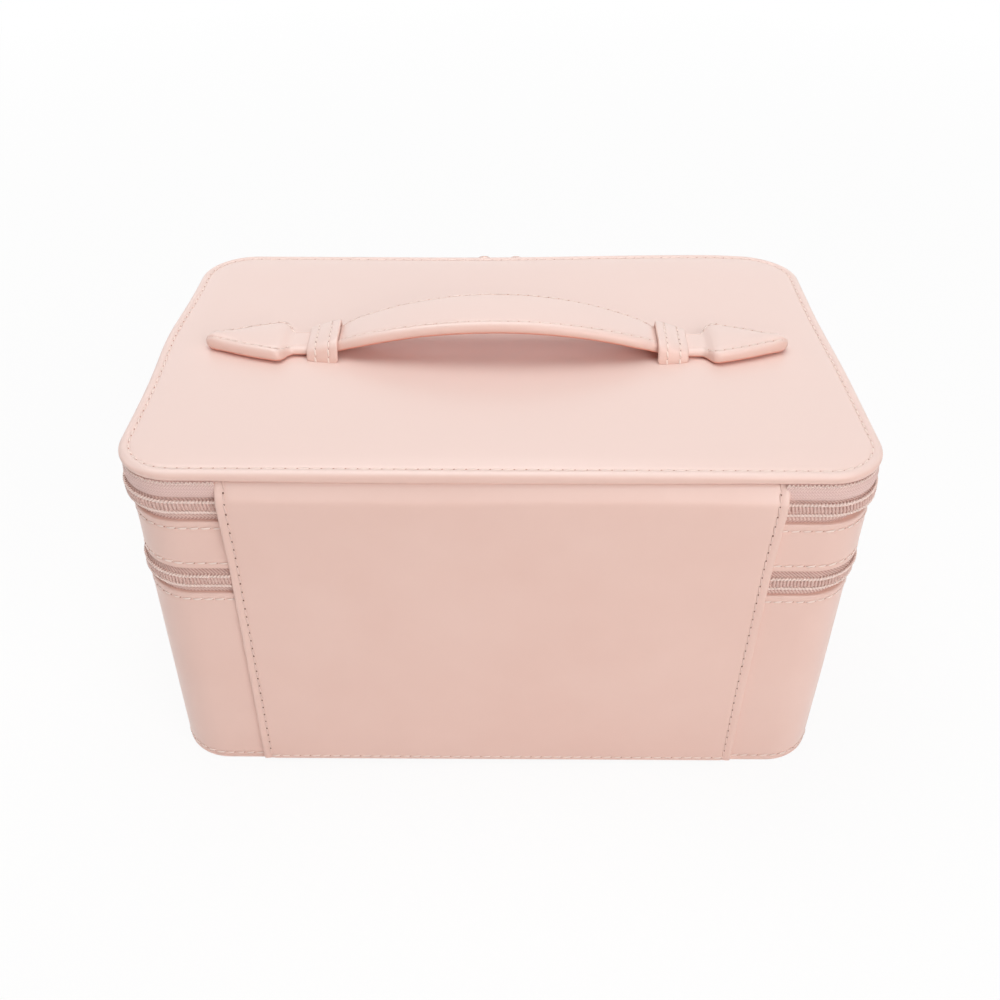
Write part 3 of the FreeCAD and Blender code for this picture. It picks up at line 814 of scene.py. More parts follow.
# %% Seams of the walls and the lid
def bend(obj, body, other, start, end):
    """Bake a piece's place into its mesh; the bodies, the start and the end are not used."""
    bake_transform(obj)


thread_width, stitch_lean, stitch_spread = 0.78, 0.12, 0.12
hole_size = (0.7, 0.62, 0.3)


def sewn(name, rows, body=None, bent=None, pitch=3.9, length=2.2, dent=faint_hole_shade, strand=seam_thread,
         proud=0.4):
    """Rows of stitches with their needle holes, attached to a body, or only baked in place when bent is
    given.
    """
    stitches = repeated(name + "_stitches", rows, dash, strand, pitch, (length, thread_width, proud),
                        stitch_lean, 0.0, stitch_spread)
    # The holes are small dark dots of painted shade between the stitches.
    holes = repeated(name + "_holes", rows, dot, dent, pitch, hole_size, 0.0, pitch / 2)
    for obj in (stitches, holes):
        if bent:
            bend(obj, *bent)
        else:
            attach(obj, body)


def wall_row(inset, height, half_gap=0.0):
    """A row of stitches round the wall."""
    path = wall_path(half_gap)
    return at_height(path, inset, height), np.pad(path[1], ((0, 0), (0, 1))), half_gap == 0


def flat_row(path, inset, height, up):
    """A closed row of stitches on a level face that looks up, for 1, or down, for -1."""
    return at_height(path, inset, height), [(0.0, 0.0, up)] * len(path[0]), True


beside_spine = spine_half + 1.5
for body, heights in (("base", (stitch_base_top, stitch_base_low)),
                      ("tray", (stitch_tray_top, stitch_tray_low))):
    sewn(f"{body}_seam", [wall_row(0.02, height, beside_spine) for height in heights], body)
sewn("lid_seam", [flat_row(wall_path(), lid_stitch, lid_top - 0.9, 1.0)], "lid")

# %% [markdown]
# ## Zipper coils
# A nylon coil zipper has two spirals whose loops hook into each other, each sewn to its tape
# with a wavy thread. Every loop is one C-shaped bit of wire set down at a pitch of 1.2 mm.
# The lower half is moved by half a pitch, so that the loops mesh, and each half rides on its
# own body, so the zipper parts when the lid opens.

# %% Coil finish and loops
def nylon(name, colour, shade):
    """Monofilament: a smooth half-gloss wire with slight changes of tone along the chain."""
    drift = {"Scale": per_mm(1.4), "Detail": 1.0}
    return two_toned(name, shade, colour, "ShaderNodeTexNoise", drift, gloss=(0.3, 0.45))


coil_nylon = nylon("nylon_zip_coil", "#E3C4BA", "#CFA59B")
coil_thread = thread("zip_sewing_thread", "#F5E1D8", "#E4C4B9")
coil_pitch = 1.2
coil_inset = 1.22
coil_end = spine_half + 0.8
loop_rise, loop_size = 0.68, (2.5, 2.3, 2.2)
sewing_inset, sewing_rise, sewing_lean, sewing_size = -0.62, 2.05, 0.6, (1.3, 0.95, 0.75)
loop_path = [(0, 0.5, 0.1), (0, 0.46, 0.42), (0, 0.28, 0.72), (0, -0.05, 0.8), (0, -0.36, 0.7),
             (0, -0.48, 0.4), (0, -0.36, 0.12)]
loop_radii = [0.16, 0.19, 0.2, 0.2, 0.22, 0.2, 0.12]
loops = {}
for way, name in ((1, "unit_loop_up"), (-1, "unit_loop_down")):
    turned = [(x, way * y, z) for x, y, z in loop_path]
    loops[way] = unit_shape(name, turned, loop_radii, 5, (1.0, 0.0, 0.0))
chain_height = {}
for level, upper, lower in (("upper", "lid", "tray"), ("lower", "tray", "base")):
    chain_low = corners_mm(f"{level}_zip_{upper}_coil")[0][2]
    chain_high = corners_mm(f"{level}_zip_{lower}_coil")[1][2]
    middle = (chain_low + chain_high) / 2
    chain_height[level] = middle
    for body, way, shift in ((upper, 1, 0.0), (lower, -1, coil_pitch / 2)):
        row = wall_row(coil_inset, middle + way * loop_rise, coil_end)
        coil = repeated(f"{level}_coil_{body}", [row], loops[way], coil_nylon, coil_pitch, loop_size,
                        0.0, shift)
        row = wall_row(sewing_inset, middle + way * sewing_rise, coil_end)
        sewing = repeated(f"{level}_coil_thread_{body}", [row], dash, coil_thread, coil_pitch,
                          sewing_size, way * sewing_lean, 0.0, 0.08)
        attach(sewing, body)
        stand_for(coil, body, "coil", f"{level}_zip_{body}_coil")
    print(level, "zipper at", round(middle, 1), "mm")

# %% [markdown]
# ## Overlock under the rim
# The raw edge of the woven band is overlocked where it goes under the rim. Only the tips of
# the zigzag show, as a row of tiny teeth in the shade of the rim.

# %% Zigzag of the overlock
tooth_path = [(-0.5, -0.5, 0), (-0.05, 0.5, 0.2), (0.05, 0.5, 0.2), (0.5, -0.5, 0)]
tooth = unit_shape("unit_tooth", tooth_path, [0.16] * 4, 5, (0.0, 0.0, 1.0))
overlock_row = wall_row(-0.8, rim_low - 0.45, spine_half + 0.5)
overlock = repeated("rim_overlock", [overlock_row], tooth, coil_thread, 1.35, (1.3, 1.2, 0.7), 0.0, 0.0, 0.1)
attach(overlock, "lid")

# %% [markdown]
# ## Leather spine
# One wide panel covers the back and is the hinge of both levels; on the real case it bends at
# the height of each zipper. The real panel is a single piece, but a piece can bend between
# two bodies only, so it is cut where nobody sees it, in the middle of the tray. The lower
# half runs from the sole to the middle of the tray and the upper half from there to the rim.
# Its edges are turned and sewn, and its top leans in under the rim, which lets that strip
# catch more light; a painted sheen makes it paler as well.

# %% Shape of the spine panel
spine_face = -corners_mm("spine_base_panel")[0][1]
spine_top = corners_mm("spine_lid_panel")[1][2]
tray_middle = (tray_top + tray_bottom) / 2
spine_stitch = 3.1
panel_edge = [(0.0, -half_d, 0.0), (0.0, -spine_face, 0.75), (1.5, -spine_face - 0.14, 0.6),
              (spine_stitch, -spine_face + 0.16, 0.5), (4.6, -spine_face - 0.04, 0.8)]
panel_section = [(x - spine_half, y, r) for x, y, r in panel_edge]
panel_section += [(spine_half - x, y, r) for x, y, r in reversed(panel_edge)]
panel_section = divided(rounded(panel_section), 9.0)
behind_walls = -half_d - 0.2
bend_below_top, bend_softness, bend_bulge, lean_share, rim_tuck = 6.2, 0.7, 2.0, 0.6, 1.1


def spine_lean(x, z):
    """How far the face of the panel lies inside its flat place: out at the bend, then in under the rim."""
    bend_z = spine_top - bend_below_top + 0.3 * math.sin(x / 19) + 0.15 * math.sin(x / 7.5 + 1)
    past = bend_softness * math.log1p(math.exp((z - bend_z) / bend_softness))
    out = bend_bulge * ease(z, 98.0, bend_z - 1.0)
    return lean_share * past - out + rim_tuck * ease(z, spine_top - 1.1, spine_top)


def panel_ring(z):
    """Section of the panel at a height; its hidden side leans in less than its face."""
    ring = []
    for x, y in panel_section:
        lean = spine_lean(x, z)
        ring.append((x, y + (lean if y < behind_walls else max(lean - 0.6, 0.0)), z))
    return ring


def heights_between(low, high, fold):
    """Heights with short steps near a fold, where the panel bends."""
    marks = [low, low + 0.35, low + 1.0]
    z = low + 1.0
    while z < high - 0.6:
        z += 0.8 if abs(z - fold) < 14 else 4.0
        marks.append(min(z, high - 0.5))
    marks += [high - 0.3, high - 0.15, high]
    return sorted(set(round(m, 3) for m in marks))


print("spine panel is", round(2 * spine_half, 1), "mm wide and", round(spine_top - sole_top, 1), "mm high")

# %% Loft the spine and sew it
out_back = (0.0, -1.0, 0.0)
bend_half = 4.8


def spine_groove_shade(x, y, z):
    """Where the sewn grooves down both sides of the panel lie, for their painted shade."""
    return near(abs(x), (spine_half - spine_stitch,), 0.8) if y < behind_walls else 0.0


def spine_rows(low, high):
    """Stitches down both sides of the panel."""
    rows = []
    for x in (spine_stitch - spine_half, spine_half - spine_stitch):
        points = [(x, -spine_face + spine_lean(x, z) + 0.1, z) for z in np.linspace(low, high, 40)]
        rows.append((points, [out_back] * len(points), False))
    return rows


seams = []
for level, low, high, bodies, nodes, row_ends in (
        ("lower", sole_top, tray_middle, ("base", "tray"), ("spine_base_panel", "spine_tray_panel"),
         (stitch_base_low + 2.6, tray_middle - 1.9)),
        ("upper", tray_middle, spine_top, ("tray", "lid"), ("spine_lid_panel",),
         (tray_middle + 1.9, spine_top - 1.0))):
    name = f"spine_{level}"
    fold = chain_height[level]
    panel = loft(name, [panel_ring(z) for z in heights_between(low, high, fold)], blush)
    set_groove_shade(panel, spine_groove_shade)
    # Painted sheen: the parts of the panel that tilt up, such as the strip under the rim, are paler.
    set_painted_sheen(panel)
    bent = (*bodies, (0, 0, (fold - bend_half) * MM), (0, 0, (fold + bend_half) * MM))
    bend(panel, *bent)
    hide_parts(*nodes)
    seams.append((f"{name}_seam", spine_rows(*row_ends), None, bent))
    print(name, "runs from", round(low, 1), "to", round(high, 1), "mm")
for seam in seams:
    sewn(*seam, 3.8, 2.3, deep_hole_shade, sunk_thread, 0.26)
foot_x = np.linspace(5 - spine_half, spine_half - 5, 60)
foot_points = [(x, -spine_face - 0.02, stitch_base_low) for x in foot_x]
sewn("spine_foot_seam", [(foot_points, [out_back] * len(foot_points), False)], "base")

# %% [markdown]
# ## Strap handle
# The handle is a padded strap that is widest in the middle, runs in a low arch between two
# leather keepers, and ends in two spear-shaped tabs on the lid. A box bent with a modifier
# would keep one width and one edge. Here a closed section is drawn at each step along the
# strap, from functions for its width, thickness and height, so every edge can be padded.
# The strap is cut in the middle, and each half runs from the middle of the grip to its end under the keeper.

# %% Width, height and thickness of the strap
both_sides = ((-1, "left"), (1, "right"))
handle_y = -1.5
strap_end = 60.3
neck_x = 71.0
tip_x = corners_mm("handle_end_right")[1][0]
neck_low = corners_mm("handle_end_right")[0][2]
strap_middle = neck_low + 12.3
arch_radius = 176.2
keeper_slope = -0.364
end_half, middle_swell, keeper_pinch = 9.0, 4.3, 0.8
neck_half, neck_taper = 8.2, 0.7
spear_from, spear_length = 78.0, 31.0
shoulder_half, spear_taper, spear_belly = 13.9, 11.2, 4.4
tip_radius = 3.0
corner_round = 1.4
edge_thick, pressed_thinner, spear_thicker = 4.7, 1.4, 0.5
row_inset = 2.5
right_half_share = 0.985


def strap_underside(x):
    """Height of the strap's underside: an arch, a short slope inside the keeper, then flat."""
    x = abs(x)
    if x <= strap_end:
        return strap_middle - arch_radius + math.sqrt(arch_radius ** 2 - x ** 2)
    foot = strap_underside(strap_end) - neck_low
    t = min((x - strap_end) / (neck_x - strap_end), 1.0)
    slope = keeper_slope * (neck_x - strap_end)
    return neck_low + foot * (2 * t ** 3 - 3 * t ** 2 + 1) + slope * (t ** 3 - 2 * t ** 2 + t)


def spear_share(x):
    """0 on the strap and its neck, 1 on the spear."""
    return ease(abs(x), 77.7, 81.5)


def pressed_share(x):
    """How far the keeper presses the strap flat."""
    return ease(abs(x), 53.0, 66.0) * (1 - ease(abs(x), 77.4, 84.0))


def cut_half_width(x):
    """Half the width of the strap, its neck and the spear at its end, as the leather is cut."""
    x = abs(x)
    if x <= strap_end:
        swell = middle_swell * (1 - (x / strap_end) ** 2)
        return end_half + swell - keeper_pinch * ease(x, 50.0, strap_end)
    neck = neck_half - neck_taper * ease(x, strap_end, neck_x)
    t = min(max((x - spear_from) / spear_length, 0.0), 1.0)
    side = shoulder_half - spear_taper * t + spear_belly * t * (1 - t)
    if x > tip_x - 1.6:
        side = min(side, math.sqrt(max(tip_radius ** 2 - (x - (tip_x - tip_radius)) ** 2, 0.0)))
    return neck + (side - neck) * spear_share(x)


def strap_half_width(x):
    """The same width with the corners of the spear rounded by the padding."""
    if not 64.0 < abs(x) < tip_x - 8.0:
        return cut_half_width(x)
    return sum(cut_half_width(abs(x) + step * corner_round) for step in (-1, -0.5, 0, 0.5, 1)) / 5


def strap_thickness(x):
    """Thickness at the edge, thinner under the keeper and thicker on the spear."""
    return edge_thick - pressed_thinner * pressed_share(x) + spear_thicker * spear_share(x)


def stitch_inset(x):
    """Distance of the sewn row from the edge of the strap."""
    return min(row_inset, 0.42 * strap_half_width(x))


def strap_place(x):
    """The right half of the strap sits a little nearer the middle of the lid."""
    return x * right_half_share if x > 0 else x


print("strap is", round(2 * strap_half_width(0), 1), "mm wide in the middle and",
      round(2 * strap_half_width(strap_end), 1), "at the keepers")

# %% Section and stitches of the strap
def strap_section(x):
    """Closed (y, z) section along the strap: a round edge, a sewn groove and a soft crown."""
    half = max(strap_half_width(x), 0.05)
    tip = math.sqrt(max(1 - max(1 - (tip_x - abs(x)) / 4.0, 0.0) ** 2, 0.0004))
    whole = strap_thickness(x)
    thick = whole * tip
    crown = (0.3 - 0.15 * pressed_share(x) + 0.5 * spear_share(x)) * tip
    row = max(stitch_inset(x), 0.02)
    middle = 0.42 * thick
    right = []
    for turn in np.radians(np.linspace(-78, 78, 13)):
        rise = (thick - middle if turn > 0 else middle) * math.sin(turn)
        right.append((half - 0.92 * row * (1 - math.cos(turn)), middle + rise))
    dip = 0.18 * tip
    fine = row / row_inset
    for off, down in ((0.45, 0.2), (0.2, 0.8), (0.0, 1.0), (-0.2, 0.8)):
        right.append((half - row + off * fine, thick - down * dip))
    right += [(half - row - 0.7 * fine, thick + 0.1 * crown), (0.7 * (half - row), thick + 0.5 * crown),
              (0.4 * (half - row), thick + 0.85 * crown)]
    left = [(-y, z) for y, z in reversed(right)]
    low = strap_underside(x) + 0.5 * (whole - thick)
    return [(strap_place(x), y + handle_y, z + low) for y, z in right + [(0.0, thick + crown)] + left]


def strap_groove_shade(x, y, z):
    """Where the sewn groove of the strap lies, for its painted shade."""
    x = x * x / strap_place(x) if x else 0.0
    apart = abs(y - handle_y) - strap_half_width(x) + stitch_inset(x)
    return near(apart, (0.0,), 0.8) if z > strap_underside(x) + strap_thickness(x) - 1.0 else 0.0


def strap_rows(side, low, high):
    """Stitches along both edges of the strap."""
    rows = []
    for way in (-1, 1):
        points, outs = [], []
        for x in np.linspace(low, high, 60):
            slope = (strap_underside(x + 0.2) - strap_underside(x - 0.2)) / 0.4
            top = strap_underside(x) + strap_thickness(x) - 0.1
            edge = way * (strap_half_width(x) - stitch_inset(x))
            points.append((strap_place(side * x), handle_y + edge, top))
            outs.append((-side * slope, 0.0, 1.0))
        rows.append((points, outs, False))
    return rows


def strap_piece(name, side, steps, ripple):
    """A padded length of the strap with the painted shade of its grooves, a painted sheen on its top and
    painted red shade on its underside.
    """
    obj = loft(name, [strap_section(side * x) for x in steps], blush)
    set_groove_shade(obj, strap_groove_shade)
    uneven(obj, 0.1, ripple)
    set_painted_sheen(obj)
    # Painted red shade on the faces of the strap that look down, drawn as a redder leather there.
    mark(obj, "backing", facing(obj, -1, 0.1, 0.8))
    return obj


print("a section of the strap has", len(strap_section(0)), "points")

# %% Strap halves and spear ends
tip_steps = tip_x - tip_radius * (1 - np.sin(np.linspace(0, math.pi / 2, 12)))
spear_steps = np.concatenate([np.arange(strap_end, 73.0, 1.2), np.arange(73.0, 81.0, 0.4),
                              np.arange(81.0, tip_x - 3.2, 1.5), tip_steps])
for side, name in both_sides:
    end_body = f"handle_end_{name}"
    half = strap_piece(f"strap_{name}", side, np.linspace(0, strap_end, 48), 16)
    flex = ("handle_grip", end_body, (side * 0.012, 0, 0.15), (side * 0.058, 0, 0.15))
    bend(half, *flex)
    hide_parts(f"handle_ramp_{name}", "handle_grip_leather", "handle_grip_padding")
    half_rows = strap_rows(side, 1.9, strap_end - 1.5)
    sewn(f"strap_{name}_seam", half_rows, None, flex, 3.7, 2.3, pale_hole_shade, seam_thread, 0.3)
    spear = strap_piece(f"spear_{name}", side, spear_steps, 14)
    stand_for(spear, end_body, "leather", end_body)
    spear_rows = strap_rows(side, neck_x + 7.4, tip_x - 4.2)
    sewn(f"spear_{name}_seam", spear_rows, end_body, None, 3.3, 2.2, pale_hole_shade, seam_thread, 0.26)

# %% [markdown]
# ## Keepers
# A keeper is a short leather loop that goes down through the lid on both sides of the strap.
# The strap lifts its inner edge, so it stands a little higher towards the middle of the case.
# The section of the loop is a strip with round edges, carried over the strap and sewn with
# two rows across.

# %% Leather keepers
keeper_low, keeper_high = corners_mm("keeper_right")
keeper_x = (keeper_low[0] + keeper_high[0]) / 2 - 0.45
keeper_half = (keeper_high[0] - keeper_low[0]) / 2 + 0.4
keeper_mid = keeper_high[2] - 1.5
keeper_stitch = 2.5
foot_pinch, far_skew, inner_spread, inner_rise = 0.1, 0.06, 0.011, 0.34
over = rounded([(-10.2, lid_top - 1.2, 0.0), (-10.45, lid_top + 1.2, 0.9), (-8.9, keeper_mid - 0.5, 3.4),
                (0.0, keeper_mid + 0.1, 3.0), (8.9, keeper_mid - 0.5, 3.4), (10.45, lid_top + 1.2, 0.9),
                (10.2, lid_top - 1.2, 0.0)], 8)
strip = rounded([(-keeper_half, -0.75, 0.5), (keeper_half, -0.75, 0.5), (keeper_half, 0.75, 0.9),
                 (3.2, 0.9, 0.3), (keeper_stitch, 0.76, 0.3), (1.8, 0.94, 0.3), (0.0, 0.98, 0.3),
                 (-1.8, 0.94, 0.3), (-keeper_stitch, 0.76, 0.3), (-3.2, 0.9, 0.3),
                 (-keeper_half, 0.75, 0.9)], 3)
ways = np.gradient(over, axis=0)
ways = ways / np.linalg.norm(ways, axis=1)[:, None]
faces_out = np.column_stack([-ways[:, 1], ways[:, 0]])
shown = np.flatnonzero(over[:, 1] > lid_top + 0.9)


def on_keeper(side, across, k, raise_by):
    """A point of the loop: higher and wider towards the middle of the case, its far end skewed outwards."""
    y, z = over[k] + raise_by * faces_out[k]
    climb = max(z - lid_top, 0.0) / (keeper_high[2] - lid_top)
    foot = 1 - foot_pinch * (1 - ease(z, lid_top - 0.3, lid_top + 1.3))
    x = strap_place(side * (keeper_x - across * foot + far_skew * max(y, 0.0)))
    return x, y * (1 + inner_spread * across) + handle_y, z + climb * inner_rise * across


def keeper_groove_shade(x, y, z):
    """Where the two sewn grooves across a keeper lie, for their painted shade."""
    return near(abs(abs(x) - abs(strap_place(x) / x) * keeper_x), (keeper_stitch,), 0.7)


for side, name in both_sides:
    rings = [[on_keeper(side, across, k, up) for across, up in strip] for k in range(len(over))]
    loop = loft(f"keeper_loop_{name}", rings, blush)
    set_groove_shade(loop, keeper_groove_shade)
    # Painted sheen: the top of the keeper is paler.
    set_painted_sheen(loop)
    stand_for(loop, "lid", "leather", f"keeper_{name}")
    rows = []
    for across in (-keeper_stitch, keeper_stitch):
        points = [on_keeper(side, across, k, 0.8) for k in shown]
        rows.append((points, [(0.0, *faces_out[k]) for k in shown], False))
    sewn(f"keeper_{name}_seam", rows, "lid", None, 2.9, 1.9, soft_hole_shade)
print("keepers stand", round(keeper_high[2] - lid_top, 1), "mm high")

# %% [markdown]
# ## Linings
# Inside, each level is lined with a fine polyester twill glued over the boards, with its edge
# turned out over the rim. A lining is a tub with two skins, so it is drawn like the sole: one
# run of rings goes up the outside, over the lip and down the inside to the middle of the
# floor. The lid has the same shape upside down. The twill is drawn a little coarse, at 0.9 mm.

# %% Twill finish
def twill(name, colour, shade):
    """Matt polyester twill: diagonal ribs, slightly uneven dye and a soft sheen."""
    material, tree, shader, place = new_finish(name)
    ribs = {"Vector": place, "Scale": per_mm(0.9) * bands_per_scale, "Distortion": 0.6}
    ribs = add(tree, "ShaderNodeTexWave", ribs, bands_direction="DIAGONAL").outputs["Fac"]
    dye = add(tree, "ShaderNodeTexNoise", {"Vector": place, "Scale": per_mm(22), "Detail": 3.0})
    share = add(tree, "ShaderNodeMath", {0: ribs, 1: 0.4, 2: dye}, operation="MULTIPLY_ADD")
    share = add(tree, "ShaderNodeMapRange", {"Value": share, 1: 0.3, 2: 1.0})
    tone = add(tree, "ShaderNodeMix", {0: share, 6: tint(shade), 7: tint(colour)}, data_type="RGBA")
    bump = add(tree, "ShaderNodeBump", {"Strength": 0.35, "Distance": 0.08 * MM, "Height": ribs})
    wire(shader, {"Base Color": tone, "Normal": bump, "Roughness": 0.75, "Specular IOR Level": 0.3,
                  "Sheen Weight": 0.25})
    return material


lining_twill = twill("polyester_lining_twill", "#E9CBBF", "#DCB6A9")
print("finish:", lining_twill.name)

# %% Line the base, the tray and the lid
lining_out = half_w - 121.3
lining_thick = 0.8
lining_in = lining_out + lining_thick


def tub(name, floor_z, lip_z, way, swell):
    """A lined tub: way is 1 for an open top, -1 for the lid, which opens downwards."""
    fill_z = floor_z + way * lining_thick
    edge = rounded([
        (lining_out + 3.0, floor_z, 0.0), (lining_out, floor_z, 1.2), (lining_out, lip_z - way * 0.6, 0.2),
        (1.85, lip_z - way * 0.6, 0.15), (1.85, lip_z, 0.25), (lining_in, lip_z, 0.5),
        (lining_in + 0.1, fill_z, 2.6), (lining_in + 5.0, fill_z, 0.0)], 5)
    shares = (0.94, 0.8, 0.6, 0.4, 0.2, 0.05)
    fill = [(share, floor_z + way * (lining_thick + swell * (1 - share ** 4))) for share in shares]
    return disc(name, edge, [(0.5, floor_z), (0.05, floor_z)], fill, lining_twill)


for body, floor_end, lip_z, way, swell in (("base", 0, base_top, 1, 0.5), ("tray", 0, tray_top, 1, 0.5),
                                           ("lid", 1, band_bottom, -1, 0.0)):
    floor_z = corners_mm(f"{body}_lining")[floor_end][2]
    lining = tub(f"{body}_lining_tub", floor_z, lip_z, way, swell)
    stand_for(lining, body, "lining", f"{body}_lining")
under_z, over_z = [corner[2] for corner in corners_mm("tray_underside_lining")]
under_edge = [(4.0, under_z), (2.3, under_z), (1.9, under_z + 0.25), (2.1, over_z)]
underside = disc("tray_underside", under_edge, [(0.6, under_z), (0.05, under_z)],
                 [(0.5, over_z), (0.05, over_z)], lining_twill)
stand_for(underside, "tray", "lining", "tray_underside_lining")

# %% [markdown]
# ## Mirror
# The mirror lies in a leather frame in the lid. The frame laps a few millimetres over the
# glass and is sewn along both edges. The glass keeps its CAD shape: it is flat, and all that
# it needs is a silvered finish.

# %% Frame of the mirror
frame_low, frame_high = corners_mm("mirror_frame")
glass_low, glass_high = corners_mm("mirror")
frame_width = 12.0
frame_face = frame_low[2]
lap = frame_high[0] - glass_high[0] + 0.3
under_glass = glass_low[2] - 0.02
outer_stitch, inner_stitch = 2.6, frame_width - 2.3
frame_section = rounded([
    (0.0, frame_high[2], 0.0), (0.0, frame_face, 1.5), (1.7, frame_face - 0.05, 0.5),
    (outer_stitch, frame_face + 0.16, 0.4), (3.6, frame_face - 0.05, 0.6),
    (frame_width - 3.2, frame_face - 0.05, 0.6), (inner_stitch, frame_face + 0.16, 0.4),
    (frame_width - 1.5, frame_face, 0.5), (frame_width, frame_face + 0.1, 0.6),
    (frame_width, under_glass, 0.1),
    (lap, under_glass, 0.1), (lap, frame_high[2], 0.0)], 3)
frame_path = rect_path(frame_high[0], frame_high[1], 18.0)
mirror_rim = loft("mirror_leather_frame", wrapped(frame_path, frame_section), blush, loop=True)
set_groove_shade(mirror_rim, lambda x, y, z: 0.0)
stand_for(mirror_rim, "lid", "leather", "mirror_frame")
frame_rows = [flat_row(frame_path, inset, frame_face + 0.06, -1.0) for inset in (outer_stitch, inner_stitch)]
sewn("mirror_frame_seam", frame_rows, "lid", None, 3.8, 2.5)

# %% Silvered glass
def dress(node, material):
    """Give a CAD node that stays its finish."""
    for entry in frame["nodes"][node].material_slots:
        entry.material = material


silvered, tree, shader, place = new_finish("silvered_glass")
haze = add(tree, "ShaderNodeTexNoise", {"Vector": place, "Scale": per_mm(30)})
wiped = add(tree, "ShaderNodeMapRange", {"Value": haze, 1: 0.3, 2: 0.7, 3: 0.015, 4: 0.05})
wire(shader, {"Base Color": tint("#E8ECEB"), "Metallic": 1.0, "Roughness": wiped})
dress("mirror", silvered)
print("mirror glass shows", round(2 * (frame_high[0] - frame_width), 1), "mm across")

# %% [markdown]
# ## Sliders and pulls
# Two sliders meet in the middle of each zipper, on the side away from the camera. Each is
# cast zinc with a rose plating: an outer plate with turned edges that is wider where the
# chain parts, a thin wall that parts the chain, an inner plate, and a bridge over which the
# eye of the pull hangs. All of them are lofted along the chain and joined to one mesh.

# %% Plated finish
def plated(name, colour, worn):
    """Plated zinc: polished, with faint casting ripple and a little wear in the plating."""
    material, tree, shader, place = new_finish(name)
    wear = add(tree, "ShaderNodeTexNoise", {"Vector": place, "Scale": per_mm(1.6), "Detail": 3.0})
    share = add(tree, "ShaderNodeMapRange", {"Value": wear, 1: 0.35, 2: 0.7})
    tone = add(tree, "ShaderNodeMix", {0: share, 6: tint(colour), 7: tint(worn)}, data_type="RGBA")
    polish = add(tree, "ShaderNodeMapRange", {"Value": wear, 1: 0.3, 2: 0.7, 3: 0.2, 4: 0.27})
    ripple = add(tree, "ShaderNodeTexNoise", {"Vector": place, "Scale": per_mm(0.8)})
    bump = add(tree, "ShaderNodeBump", {"Strength": 0.05, "Distance": 0.02 * MM, "Height": ripple})
    wire(shader, {"Base Color": tone, "Roughness": polish, "Normal": bump, "Metallic": 1.0})
    return material


rose_plate = plated("rose_plated_zinc", "#C3A79C", "#B79A8F")
print("finish:", rose_plate.name)

# %% Sliders
def joined(name, parts):
    """One object from several; the parts are removed."""
    shape = bmesh.new()
    for part in parts:
        shape.from_mesh(part.data)
    mesh = bpy.data.meshes.new(name)
    shape.to_mesh(mesh)
    shape.free()
    mesh.materials.append(parts[0].data.materials[0])
    for part in parts:
        bpy.data.objects.remove(part)
    return new_object(name, mesh)


bridge_y = 86.4
bar_radius = 0.8
plate_half, plate_flat, plate_round = 5.5, 4.3, 0.9
end_turns = np.linspace(0.3, math.pi / 2, 5)
end_steps = plate_round * (1 - np.cos(end_turns)) - plate_half
plate_steps = np.concatenate([end_steps, np.linspace(-plate_flat, plate_flat, 11), -end_steps[::-1]])


def slider_plate(name, middle_x, side, chain_z, chain_y, far_y, turned):
    """One plate of a slider; turned is how far its long edges fold towards the chain."""
    lip = chain_y - turned
    rings = []
    for along in plate_steps:
        end = math.sqrt(max(1 - max((abs(along) - plate_flat) / 1.2, 0.0) ** 2, 0.05))
        half = (2.32 + 0.46 * ease(-along, -2.5, 3.0)) * (0.55 + 0.45 * end)
        section = rounded([
            (far_y, half - 0.1, 0.5), (lip, half, 0.25), (lip, half - 0.6, 0.2), (chain_y, half - 0.65, 0.15),
            (chain_y, 0.65 - half, 0.15), (lip, 0.6 - half, 0.2), (lip, -half, 0.25),
            (far_y, 0.1 - half, 0.5)], 3)
        rings.append([(middle_x + side * along, y, chain_z + z) for y, z in section])
    return loft(name, rings, rose_plate)


web_section = rounded([(-3.9, 0.0, 0.0), (-2.6, 0.2, 0.6), (3.4, 0.2, 0.3), (3.9, 0.0, 0.0), (3.4, -0.2, 0.3),
                       (-2.6, -0.2, 0.6)], 2)
chain_places = {}
for level in ("upper", "lower"):
    for side, name in both_sides:
        node = f"{level}_slider_{name}"
        low, high = corners_mm(node)
        middle_x, chain_z = (low[0] + high[0]) / 2, (low[2] + high[2]) / 2
        chain_places[level, name] = (middle_x, chain_z)
        bridge_foot = high[1] - 4.0
        outer = slider_plate("outer", middle_x, side, chain_z, high[1] - 4.4, high[1] - 3.4, 1.2)
        inner = slider_plate("inner", middle_x, side, chain_z, low[1] + 1.0, low[1], -0.4)
        web_rings = [[(middle_x + side * x, y, chain_z + z) for x, z in web_section]
                     for y in (low[1] + 0.6, bridge_foot)]
        web = loft("web", web_rings, rose_plate)
        arch = rounded([(-3.6, bridge_foot, 0.0), (-3.6, bridge_y, 1.4), (3.6, bridge_y, 1.4),
                        (3.6, bridge_foot, 0.0)], 6)
        bar = [(middle_x + x, y, chain_z) for x, y in divided(arch, 1.2)[:-6]]
        bridge = tube("bridge", bar, [bar_radius] * len(bar), rose_plate, 12, (0.0, 0.0, 1.0))
        slider = joined(f"{level}_slider_body_{name}", [outer, inner, web, bridge])
        stand_for(slider, node, "metal", node)

# %% [markdown]
# ## Pulls
# A pull is a flat tab with a round eye. The tab widens from its neck to a round tip, and its
# face is sunk a little inside a raised rim. Upper pulls lean on the rim of the lid, so only
# their tips show above it in the picture. Lower pulls hang down.

# %% Tabs with eyes
pull_length = 13.5
neck_half = 1.25
tip_round = 3.5
tip_long = 2.2
eye_half = 1.3
tip_turns = np.linspace(0.1, 1.53, 12)
pull_steps = np.concatenate([np.linspace(1.7, pull_length - tip_long, 22),
                             pull_length - tip_long * (1 - np.sin(tip_turns))])


